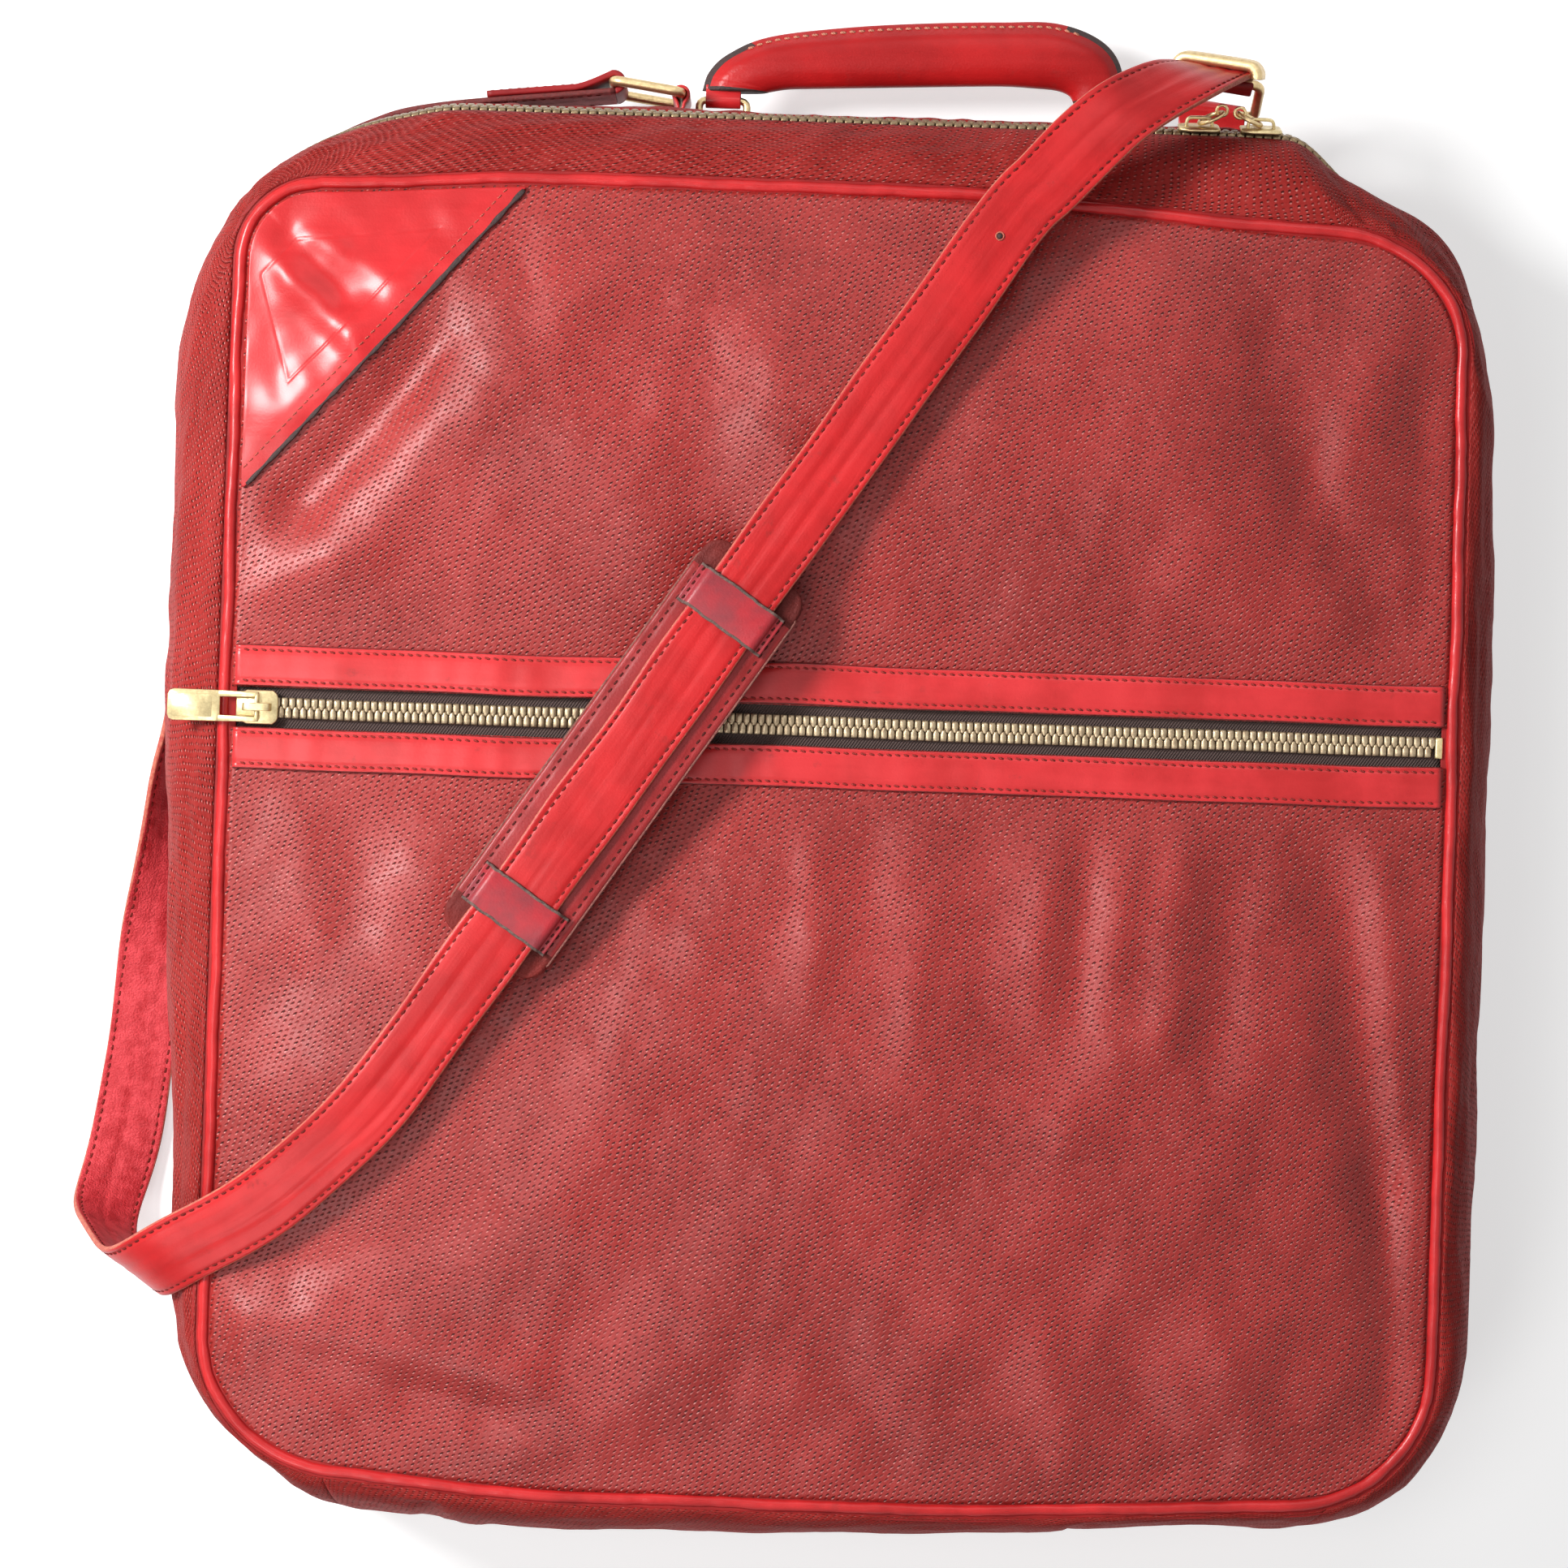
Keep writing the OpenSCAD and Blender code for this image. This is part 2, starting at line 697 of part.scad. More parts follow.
// Height of the gusset's outer face at a height z above the back, on the straight top
function top_face_y(z) =
    panel_h / 2 + gusset_seam + (bulge_top - gusset_seam) * sqrt(1 - pow((z - half_d) / half_d, 2));
hinge_y = top_face_y(handle_z) + eye_out + 1;
outer_bar_y = hinge_y + handle_ring_l;
leg_in = 6;

module handle_leg(x, gap) {
    y0 = top_face_y(handle_z) - leg_in - gap;
    translate([x - chape_w / 2 - gap, y0, handle_z - leg_t / 2 - gap])
        cube([chape_w + 2 * gap, hinge_y - eye_in - y0, leg_t + 2 * gap]);
}

module eye(x, y, w) {
    translate([x - w / 2, y, handle_z]) rotate([0, 90, 0]) cylinder(r = eye_out, h = w);
}

module eye_bore(x, y, w) {
    translate([x - w / 2 - 1, y, handle_z]) rotate([0, 90, 0]) cylinder(r = eye_in, h = w + 2);
}

module handle_chapes() {
    color(leather_red) for (x = handle_xs) difference() {
        union() {
            eye(x, hinge_y, chape_w);
            handle_leg(x, 0);
        }
        eye_bore(x, hinge_y, chape_w);
    }
}

module handle_backing_plates() {
    y = top_face_y(handle_z) - leg_in - seam_gap;
    color(leather_red) for (x = handle_xs)
        translate([x - chape_w / 2 - 3, y - cover_t, handle_z - 8]) cube([chape_w + 6, cover_t, 14]);
}

// Wire ring with its corners rounded by spheres
module wire_ring(w, l, r) {
    for (x = [-w / 2, w / 2]) {
        translate([x, 0, 0]) rotate([-90, 0, 0]) cylinder(r = r, h = l);
        for (y = [0, l]) translate([x, y, 0]) sphere(r);
    }
    for (y = [0, l]) translate([-w / 2, y, 0]) rotate([0, 90, 0]) cylinder(r = r, h = w);
}

module handle_rings() {
    color(brass) for (x = handle_xs)
        translate([x, hinge_y, handle_z]) wire_ring(handle_ring_w, handle_ring_l, ring_wire_r);
}

tab_y = outer_bar_y + eye_out;
module handle_end_tabs() {
    color(leather_red) for (x = handle_xs) difference() {
        union() {
            eye(x, outer_bar_y, chape_w);
            translate([x - chape_w / 2, outer_bar_y, handle_z - leg_t / 2])
                cube([chape_w, eye_out + 0.5, leg_t]);
        }
        eye_bore(x, outer_bar_y, chape_w);
    }
}

// Pairs of points across the grip, from its left end to its right end: the under side and the
// upper side, each as [x from the ring it is nearer to, share of the rise], and the thickness
grip_pairs = [
    [0, 17, -0.03, -8.5, -0.03, 0.62],
    [0, 21, 0, -6, 0.22, 0.75],
    [0, 27, 0.03, 1.5, 0.46, 0.9],
    [0, 39, 0.05, 18, 0.7, 1],
    [0, 64, 0.09, 50.6, 0.86, 1],
    [0, 89, 0.13, 84, 0.95, 1],
    [1, -38.6, 0.16, -39.4, 0.99, 1],
    [1, -26, 0.15, -18, 1, 1],
    [1, -17, 0.13, -1, 0.82, 0.9],
    [1, -12, 0.07, 8, 0.5, 0.75],
    [1, -10, -0.03, 10.5, -0.03, 0.62]
];
grip_sides = 12;
grip_y = tab_y + 1.5;
function grip_ring(p, shrink) =
    let (
        x0 = handle_xs[p[0]],
        low = [x0 + p[1], grip_y + p[2] * grip_rise],
        high = [x0 + p[3], grip_y + p[4] * grip_rise],
        mid = (low + high) / 2,
        across = (high - low) / 2 * (1 - 2 * shrink / norm(high - low)),
        up = p[5] * grip_t / 2 - shrink
    )
    [
        for (k = [0 : grip_sides - 1])
            let (a = 360 * k / grip_sides)
            [mid[0] + across[0] * cos(a), mid[1] + across[1] * cos(a), handle_z + up * sin(a)]
    ];
// The inner rings run a little past both ends, so that the cover is open there
function past_end(ring, next) = [for (k = [0 : grip_sides - 1]) ring[k] + unit(ring[k] - next[k]) * 3];
function grip_inside(shrink) =
    let (rings = [for (p = grip_pairs) grip_ring(p, shrink)], n = len(rings))
    concat([past_end(rings[0], rings[1])], rings, [past_end(rings[n - 1], rings[n - 2])]);

module handle_grip() {
    color(leather_red) difference() {
        skin([for (p = grip_pairs) grip_ring(p, 0)]);
        skin(grip_inside(grip_wall));
    }
}

module handle_core() {
    color([0.75, 0.68, 0.55]) skin([for (p = grip_pairs) grip_ring(p, grip_wall + run_gap)]);
}

// Shoulder strap: rings, its route over the front and round the left side, folds and pad
strap_fold_r = strap_wire_r + run_gap + strap_t / 2;
run_x = cos(strap_angle);
run_y = sin(strap_angle);
run_dir = [run_x, run_y, 0];
strap_z = bag_depth + strap_rise;
pad_at = [-81.2, 30.9, strap_z];

// Right ring: its outer bar stands clear of the gusset, its inner bar sits in the chape
right_tilt = -7.5;
right_dir = [cos(right_tilt), sin(right_tilt), 0];
right_z = 62;
right_bar = [panel_w / 2 - 95, top_y + 18.6, right_z];
right_out = unit([0.127, 0.971, 0.2]);
right_up = cross(right_dir, right_out);
right_in_dir = unit([0, -0.42, -0.91]);
right_ring_l = 22;
right_inner = right_bar + right_in_dir * right_ring_l;
// Left ring: it stands on edge, so its bars are upright
left_bar = [-97.3, top_y + 12.6, 29];
left_slope = 8;
left_along = [cos(left_slope), sin(left_slope), 0];
left_out = [-sin(left_slope), cos(left_slope), 0];
left_inner = left_bar + [strap_ring_l * cos(left_slope), -strap_ring_l * sin(left_slope), 0];

// Stations of the strap: [point on its middle, way out of its outer face]
hug = strap_t / 2 + 2 * soft_gap;
turn_from = [side_left + 8, -168, bag_depth + 3];
turn_side = [-0.844, 0.536, 0];
turn_ahead = [-0.543, -0.8375, 0];
turn_h = (bag_depth - 2) / 2;
turn_run = 43;
turn_bulge = 18;
arc_at = [side_left + soft_tl, top_y - soft_tl];
arc_r = soft_tl + hug;
arc_end = 98;
edge_z = strap_w / 2 + 1;
strap_stations = concat(
    [
        [right_bar + strap_fold_r * right_out, right_out],
        [right_bar + [-1.7, 0.4, 18], [0, 0.87, 0.49]],
        [[122, top_y + 11, bag_depth + 3], [0, 0.62, 0.78]],
        [[108, top_y, bag_depth + 15.5], [0, 0.3, 0.95]],
        [[93, top_y - 13, strap_z - 1.5], [0, 0.08, 1]],
        [pad_at + 269 * run_dir + [8, 1, 0], [0, 0, 1]],
        [pad_at + 252 * run_dir, [0, 0, 1]],
        [pad_at - 134 * run_dir, [0, 0, 1]],
        [[-177, -109, strap_z - 1.5], [-0.04, -0.06, 1]],
        [[-202, -134, bag_depth + 15], [-0.12, -0.2, 1]],
        [[-226, -153, bag_depth + 8], [-0.1, -0.15, 1]]
    ],
    [
        for (a = [0 : 22.5 : 180])
            [
                turn_from + turn_side * turn_run * a / 180 + turn_ahead * turn_bulge * sin(a)
                    - [0, 0, turn_h * (1 - cos(a))],
                unit(turn_ahead * sin(a) / turn_bulge + [0, 0, cos(a) / turn_h])
            ]
    ],
    [
        [[side_left - 17, -100, 3.6], [0, 0, -1]],
        [[side_left - 11, -60, 2.6], [0, 0, -1]],
        [[side_left - 5, -20, 8.5], [-0.5, 0, -0.866]],
        [[side_left - 3, 15, edge_z - 1], [-0.87, 0, -0.5]],
        [[side_left - hug, 60, edge_z], [-1, 0, 0]],
        [[side_left - hug, arc_at[1], edge_z + 3], [-1, 0, 0]]
    ],
    [
        for (a = [166 : -13.6 : arc_end])
            [[arc_at[0] + arc_r * cos(a), arc_at[1] + arc_r * sin(a), mix(edge_z + 3, left_bar[2], (180 - a) / 82)],
                [cos(a), sin(a), 0]]
    ],
    [[left_bar - strap_fold_r * left_out, left_out]]
);
// The last station's face looks out of the bag, so the strap meets the inner side of its fold
function station_dir(i) =
    let (n = len(strap_stations) - 1)
    i == 0 ? right_up
    : i == n ? left_along
    : unit(strap_stations[i + 1][0] - strap_stations[i - 1][0]);
function strap_ring(p, out, dir) =
    let (n = unit(out - (out * dir) * dir), s = cross(dir, n), a = n * strap_t / 2, b = s * strap_w / 2)
    [p + a + b, p - a + b, p - a - b, p + a - b];

module shoulder_strap() {
    color(strap_red)
        skin([
            for (i = [0 : len(strap_stations) - 1])
                strap_ring(strap_stations[i][0], strap_stations[i][1], station_dir(i))
        ]);
}

// Strap end folded round a bar: half a sleeve and the flap that comes back along the strap
module strap_fold(flap_l) {
    r_in = strap_wire_r + run_gap;
    translate([0, 0, -strap_w / 2]) linear_extrude(strap_w) {
        difference() {
            circle(r_in + strap_t);
            circle(r_in);
            translate([-2 * r_in - strap_t, -2 * r_in - strap_t])
                square([2 * r_in + strap_t, 4 * r_in + 2 * strap_t]);
        }
        translate([-flap_l, r_in]) square([flap_l, strap_t]);
    }
}

module strap_fold_left() {
    color(strap_red) placed(left_bar, left_along, [0, 0, 1]) strap_fold(55);
}

module strap_fold_right() {
    color(strap_red) placed(right_bar, -right_up, right_dir) mirror([0, 1, 0]) strap_fold(8);
}

module strap_ring_at(p, long_dir, way, l) {
    w = strap_w + 2 * strap_wire_r + 2;
    color(brass) placed(p, long_dir, cross(long_dir, way)) wire_ring(w, l, strap_wire_r);
}

module strap_ring_left() {
    strap_ring_at(left_bar, [0, 0, 1], left_inner - left_bar, strap_ring_l);
}

module strap_ring_right() {
    strap_ring_at(right_bar, right_dir, right_in_dir, right_ring_l);
}

chape_len = strap_w - 2;
chape_in = strap_wire_r + run_gap;
chape_out = chape_in + cover_t;
module left_chape_leg(gap) {
    y0 = top_face_y(left_bar[2] - chape_len / 2) - leg_in - gap;
    translate([left_inner[0] - leg_t / 2 - gap, y0, left_bar[2] - chape_len / 2 - gap])
        cube([leg_t + 2 * gap, left_inner[1] - chape_in - y0, chape_len + 2 * gap]);
}

module strap_chape_left() {
    color(leather_red) difference() {
        union() {
            translate([left_inner[0], left_inner[1], left_bar[2] - chape_len / 2])
                cylinder(r = chape_out, h = chape_len);
            left_chape_leg(0);
        }
        translate([left_inner[0], left_inner[1], left_bar[2] - chape_len]) cylinder(r = chape_in, h = 2 * chape_len);
    }
}

module right_chape_leg(gap) {
    y0 = top_face_y(right_inner[2]) - leg_in - gap;
    translate([right_inner[0] - chape_len / 2 - gap, y0, right_inner[2] - leg_t / 2 - gap])
        cube([chape_len + 2 * gap, right_inner[1] - y0, leg_t + 2 * gap]);
}

module strap_chape_right() {
    color(leather_red) difference() {
        union() {
            placed(right_inner, right_dir, [0, 0, 1])
                rotate([0, 90, 0]) translate([0, 0, -chape_len / 2]) cylinder(r = chape_out, h = chape_len);
            right_chape_leg(0);
        }
        placed(right_inner, right_dir, [0, 0, 1])
            rotate([0, 90, 0]) translate([0, 0, -chape_len]) cylinder(r = chape_in, h = 2 * chape_len);
    }
}

// Pad under the strap, held by two keepers that loop over it
pad_top = strap_z - strap_t / 2 - seam_gap;
pad_round = 8;
module strap_pad() {
    color([0.50, 0.16, 0.15]) placed([pad_at[0], pad_at[1], pad_top - pad_t], run_dir, [0, 0, 1])
        linear_extrude(pad_t) {
            square([pad_l - 2 * pad_round, pad_w], center = true);
            square([pad_l, pad_w - 2 * pad_round], center = true);
            for (x = [-1, 1], y = [-1, 1])
                translate([x * (pad_l / 2 - pad_round), y * (pad_w / 2 - pad_round)]) circle(pad_round);
        }
}

keeper_t = 1.4;
keeper_gap = 1;
module pad_keepers() {
    w = strap_w / 2 + keeper_gap;
    h = strap_t + 2 * seam_gap;
    foot = 4;
    color(leather_red) for (s = [-1, 1])
        placed([pad_at[0], pad_at[1], pad_top + lay_gap] + s * keeper_step / 2 * run_dir, run_dir, [0, 0, 1])
            rotate([90, 0, 90]) translate([0, 0, -keeper_l / 2]) linear_extrude(keeper_l) polygon([
                [-w - foot, 0], [-w, 0], [-w, h], [w, h], [w, 0], [w + foot, 0],
                [w + foot, keeper_t], [w + keeper_t, keeper_t], [w + keeper_t, h + keeper_t],
                [-w - keeper_t, h + keeper_t], [-w - keeper_t, keeper_t], [-w - foot, keeper_t]
            ]);
}

front_panel_upper();
front_panel_lower();
corner_patch();
zip_band_upper();
zip_band_lower();
pocket_lining();
front_piping();
back_piping();
back_panel();
back_lining();
base_board();
side_gusset_left();
side_gusset_right();
bottom_gusset();
top_gusset_front();
top_gusset_back();
front_zip_tape_upper();
front_zip_tape_lower();
front_zip_teeth_upper();
front_zip_teeth_lower();
front_zip_stop();
front_zip_slider();
front_zip_pull();
main_zip_tape_front();
main_zip_tape_back();
main_zip_teeth_front();
main_zip_teeth_back();
main_zip_stops();
main_zip_slider_a();
main_zip_slider_b();
main_zip_pull_a();
main_zip_pull_b();
handle_grip();
handle_core();
handle_end_tabs();
handle_rings();
handle_chapes();
handle_backing_plates();
shoulder_strap();
strap_fold_left();
strap_fold_right();
strap_ring_left();
strap_ring_right();
strap_chape_left();
strap_chape_right();
strap_pad();
pad_keepers();
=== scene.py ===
# %% [markdown]
# # A red leather weekender bag, dressed in Blender
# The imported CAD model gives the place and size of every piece. This lesson puts cloth, leather
# and brass on it, piece by piece. Helpers work in millimetres, and a mesh turns to metres last.

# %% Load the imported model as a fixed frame
import math
import random
import bpy
import numpy as np
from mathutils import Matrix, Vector


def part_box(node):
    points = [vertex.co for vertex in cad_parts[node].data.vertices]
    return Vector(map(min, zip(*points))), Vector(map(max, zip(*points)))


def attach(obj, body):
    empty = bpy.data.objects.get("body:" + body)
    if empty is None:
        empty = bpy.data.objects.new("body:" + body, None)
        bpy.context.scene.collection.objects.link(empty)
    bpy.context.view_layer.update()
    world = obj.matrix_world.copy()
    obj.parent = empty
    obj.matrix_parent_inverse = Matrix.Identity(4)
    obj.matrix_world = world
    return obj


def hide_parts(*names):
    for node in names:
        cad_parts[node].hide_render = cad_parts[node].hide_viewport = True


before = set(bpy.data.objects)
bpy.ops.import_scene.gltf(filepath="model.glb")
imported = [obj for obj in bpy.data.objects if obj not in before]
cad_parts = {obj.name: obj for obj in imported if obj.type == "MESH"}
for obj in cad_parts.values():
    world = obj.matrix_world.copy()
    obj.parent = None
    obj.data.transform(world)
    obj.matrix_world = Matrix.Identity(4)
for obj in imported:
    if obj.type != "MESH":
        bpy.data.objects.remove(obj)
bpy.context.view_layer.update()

# %% [markdown]
# ## Sizes
# The frame knows the box of each CAD node, so most sizes are read from it. The few that a box
# can't tell, such as corner radii, repeat the maker's pattern.

# %% Sizes from the frame
MM = 0.001


def box_mm(node):
    low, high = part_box(node)
    return np.array(low) / MM, np.array(high) / MM


piping_low, piping_high = box_mm("front_piping")
piping_r = (piping_high[2] - piping_low[2]) / 2
half_w = piping_high[0] - piping_r
half_h = piping_high[1] - piping_r
front_z = box_mm("zip_band_upper")[0][2] - 0.1
half_d = front_z / 2
zip_y = (box_mm("zip_band_upper")[1][1] + box_mm("zip_band_lower")[0][1]) / 2
band_low, band_high = box_mm("zip_band_upper")
band_w = band_high[1] - band_low[1]
slot_half = band_low[1] - zip_y
bulge_box = [
    box_mm("side_gusset_left")[0][0], box_mm("side_gusset_right")[1][0],
    box_mm("bottom_gusset")[0][1], box_mm("top_gusset_back")[1][1],
]
print(f"panel {2 * half_w:.0f} x {2 * half_h:.0f} mm, depth {front_z:.0f} mm, zip at y = {zip_y:.0f}")

# %% [markdown]
# ## Outlines
# Both seams run on one rounded rectangle, and the gusset bulges past it to a softer one. A place
# on either is told by u, which counts the eight stretches clockwise from the top left.

# %% Outlines of the seam and of the bulge
SEAM_GAP = piping_r + 0.2
GUSSET_GAP = SEAM_GAP + 0.4
PANEL_CORNERS = [48, 52, 52, 30]
BULGE_CORNERS = [(95, 122), (90, 90), (90, 90), (115, 115)]


def seam_line(grow):
    radii = [(r + grow, r + grow) for r in PANEL_CORNERS]
    return [-half_w - grow, half_w + grow, -half_h - grow, half_h + grow, radii]


bulge_line = [*bulge_box, BULGE_CORNERS]


def on_line(line, u):
    left, right, low, high, radii = line
    (tr, br, bl, tl) = radii
    seg = int(math.floor(u)) % 8
    t = u - math.floor(u)
    turn = t * math.pi / 2
    if seg == 0:
        return left + tl[0] + t * (right - tr[0] - left - tl[0]), high
    if seg == 1:
        return right - tr[0] + tr[0] * math.sin(turn), high - tr[1] + tr[1] * math.cos(turn)
    if seg == 2:
        return right, high - tr[1] + t * (low + br[1] - high + tr[1])
    if seg == 3:
        return right - br[0] + br[0] * math.cos(turn), low + br[1] - br[1] * math.sin(turn)
    if seg == 4:
        return right - br[0] + t * (left + bl[0] - right + br[0]), low
    if seg == 5:
        return left + bl[0] - bl[0] * math.sin(turn), low + bl[1] - bl[1] * math.cos(turn)
    if seg == 6:
        return left, low + bl[1] + t * (high - tl[1] - low - bl[1])
    return left + tl[0] - tl[0] * math.cos(turn), high - tl[1] + tl[1] * math.sin(turn)


def line_points(line, us):
    return np.array([on_line(line, u) for u in us])


def even_steps(line, start, end, step):
    """Values of u from start to end, evenly spaced along the line."""
    fine = np.linspace(start, end, 1500)
    points = line_points(line, fine)
    run = np.concatenate([[0], np.cumsum(np.linalg.norm(np.diff(points, axis=0), axis=1))])
    count = max(3, int(round(run[-1] / step)) + 1)
    return np.interp(np.linspace(0, run[-1], count), run, fine), np.linspace(0, run[-1], count)


print("seam length of the front:", round(even_steps(seam_line(0), 0, 8, 2)[1][-1]), "mm")

# %% [markdown]
# ## Mesh helpers
# Cloth and leather are sheets with a thickness, so one helper joins an outer and an inner grid of
# points. Cords, wires and straps are lofts: a small section carried along a path.

# %% The soft outline
LEANING = ("front_canvas", "side_gusset", "bottom_gusset", "top_gusset", "front_piping", "back_piping",
           "corner_patch", "main_zip_tape", "main_chain")


def smooth(value, start, end):
    t = np.clip((value - start) / (end - start), 0, 1)
    return t * t * (3 - 2 * t)


def lean(points):
    """Corners of the limp front fall in a little; the back and the straight zips stay."""
    points = np.array(points, float)
    x, y = points[..., 0], points[..., 1]
    inward = -11 * smooth(x, 10, 215) * smooth(y, 100, 235) - 5 * smooth(-x, 110, 215) * smooth(y, 120, 235)
    inward += 7 * smooth(x, 40, 215) * smooth(-y, 110, 235) + 8 * smooth(-x, 90, 215) * smooth(-y, 120, 235)
    straight_zip = smooth(y, 258, 282) * (1 - smooth(x, 167, 195)) * (1 - smooth(-x, 149, 177))
    share = np.clip(points[..., 2] / front_z, 0, 1)
    points[..., 1] += inward * (1 - straight_zip) * share
    points[..., 0] -= 1 * smooth(x, 120, 235) * smooth(y, 60, 200) * share
    return points


print("largest lean:", round(float(lean([(220, 240, front_z)])[0, 1] - 240), 1), "mm")

# %% Meshes from grids and from lofts


def make_piece(name, points, faces, finish, body, stands_for=(), lay=None, marks=None):
    if name.startswith(LEANING):
        points = lean(points)
    mesh = bpy.data.meshes.new(name)
    mesh.from_pydata((np.asarray(points, float) * MM).tolist(), [], [list(map(int, f)) for f in faces])
    for m in finish if isinstance(finish, (list, tuple)) else [finish]:
        mesh.materials.append(m)
    if marks is not None:
        mesh.polygons.foreach_set("material_index", np.asarray(marks, np.int32))
    if lay is not None:
        layer = mesh.attributes.new("lay", "FLOAT_VECTOR", "POINT")
        layer.data.foreach_set("vector", np.asarray(lay, np.float32).ravel())
    mesh.polygons.foreach_set("use_smooth", np.ones(len(mesh.polygons), bool))
    mesh.update()
    piece = bpy.data.objects.new(name, mesh)
    bpy.context.scene.collection.objects.link(piece)
    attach(piece, body)
    if stands_for:
        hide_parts(*stands_for)
    return piece


def sheet_faces(rows, cols):
    index = np.arange(rows * cols).reshape(rows, cols)
    skin = np.stack([index[:-1, :-1], index[:-1, 1:], index[1:, 1:], index[1:, :-1]], -1).reshape(-1, 4)
    rim = np.concatenate([index[0, :], index[1:, -1], index[-1, -2::-1], index[-2:0:-1, 0]])
    ahead = np.roll(rim, -1)
    under = rows * cols
    edge = np.stack([rim, rim + under, ahead + under, ahead], -1)
    return np.concatenate([skin, skin[:, ::-1] + under, edge])


def grid_normals(grid):
    along = np.gradient(grid, axis=1)
    up = np.gradient(grid, axis=0)
    normal = np.cross(along, up)
    return normal / np.maximum(np.linalg.norm(normal, axis=2, keepdims=True), 1e-9)


def sheet_piece(name, outer, inner, finish, body, stands_for=(), lay=None, marks=None):
    """A sheet of material between two grids of rows x columns x 3."""
    rows, cols = outer.shape[:2]
    faces = sheet_faces(rows, cols)
    if marks is not None:
        rim = len(faces) - 2 * marks.size
        marks = np.concatenate([marks.ravel(), marks.ravel(), np.zeros(rim, int)])
    middle = grid_normals(outer)[rows // 2, cols // 2]
    if np.dot(middle, outer[rows // 2, cols // 2] - inner[rows // 2, cols // 2]) < 0:
        faces = faces[:, ::-1]
    points = np.concatenate([outer.reshape(-1, 3), inner.reshape(-1, 3)])
    if lay is not None:
        flat = np.concatenate([lay, np.zeros((*lay.shape[:2], 1))], -1).reshape(-1, 3)
        lay = np.concatenate([flat, flat])
    return make_piece(name, points, faces, finish, body, stands_for, lay, marks)


def unit(v):
    v = np.asarray(v, float)
    return v / np.maximum(np.linalg.norm(v, axis=-1, keepdims=True), 1e-9)


def smooth_path(points, per):
    """Catmull-Rom curve through rows of numbers, with per steps between two of them."""
    p = np.asarray(points, float)
    p = np.concatenate([[2 * p[0] - p[1]], p, [2 * p[-1] - p[-2]]])
    out = []
    for i in range(1, len(p) - 2):
        a, b, c, d = p[i - 1], p[i], p[i + 1], p[i + 2]
        for t in np.arange(per) / per:
            out.append(0.5 * (2 * b + (c - a) * t + (2 * a - 5 * b + 4 * c - d) * t * t
                              + (3 * b - a - 3 * c + d) * t ** 3))
    out.append(p[-2])
    return np.array(out)


def resample(path, step, *others):
    run = np.concatenate([[0], np.cumsum(np.linalg.norm(np.diff(path, axis=0), axis=1))])
    count = max(2, int(round(run[-1] / step)) + 1)
    at = np.linspace(0, run[-1], count)
    rows = [np.stack([np.interp(at, run, a[:, k]) for k in range(a.shape[1])], -1) for a in (path, *others)]
    return (*rows, at)


def frames(path, up, loop=False):
    if loop:
        ahead = np.roll(path, -1, 0) - np.roll(path, 1, 0)
    else:
        ahead = np.gradient(path, axis=0)
    ahead = unit(ahead)
    up = np.broadcast_to(np.asarray(up, float), path.shape)
    up = unit(up - ahead * np.sum(up * ahead, 1, keepdims=True))
    return ahead, np.cross(ahead, up), up


def loft_faces(rings, sides, loop=False, caps=True):
    i = np.arange(rings if loop else rings - 1)[:, None]
    j = np.arange(sides)[None, :]
    a = i * sides + j
    b = i * sides + (j + 1) % sides
    up = ((i + 1) % rings) * sides
    quads = np.stack([a, b, up + (j + 1) % sides, up + j], -1).reshape(-1, 4).tolist()
    if caps and not loop:
        quads.append(list(range(sides))[::-1])
        quads.append([(rings - 1) * sides + k for k in range(sides)])
    return quads


def loft_points(path, side, up, section):
    """section: one (sides, 2) array of side and up offsets, or one per ring."""
    section = np.asarray(section, float)
    if section.ndim == 2:
        section = np.broadcast_to(section, (len(path), *section.shape))
    return (path[:, None] + side[:, None] * section[..., :1] + up[:, None] * section[..., 1:]).reshape(-1, 3)


def circle(r, sides, squash=1.0):
    a = np.arange(sides) * 2 * math.pi / sides
    return np.stack([r * np.cos(a), -r * squash * np.sin(a)], -1)


def sewn_strip(half, thick, seam, dip=0.3, plump=0.25, middle_steps=7):
    """Top points of a strip across its width, with two sewn channels."""
    one = [half - 0.5, (half + seam) / 2, seam + 0.75, seam + 0.42, seam, seam - 0.42, seam - 0.75, seam - 2]
    across = np.array([-v for v in one] + list(np.linspace(4 - seam, seam - 4, middle_steps)) + one[::-1])
    off = np.abs(across)
    top = thick / 2 - 0.2 + plump * (1 - (off / half) ** 4) - dip * np.exp(-((off - seam) / 0.55) ** 2)
    return np.stack([across, top], -1)


def rounded_bar(w, h, r, corner_steps=3):
    """Section of a flat bar w wide and h high with rounded edges."""
    out = []
    for k, (sx, sy) in enumerate([(1, -1), (-1, -1), (-1, 1), (1, 1)]):
        for i in range(corner_steps + 1):
            a = math.radians(-90 * k - 90 * i / corner_steps)
            out.append((sx * (w / 2 - r) + r * math.cos(a), sy * (h / 2 - r) + r * math.sin(a)))
    return np.array(out)


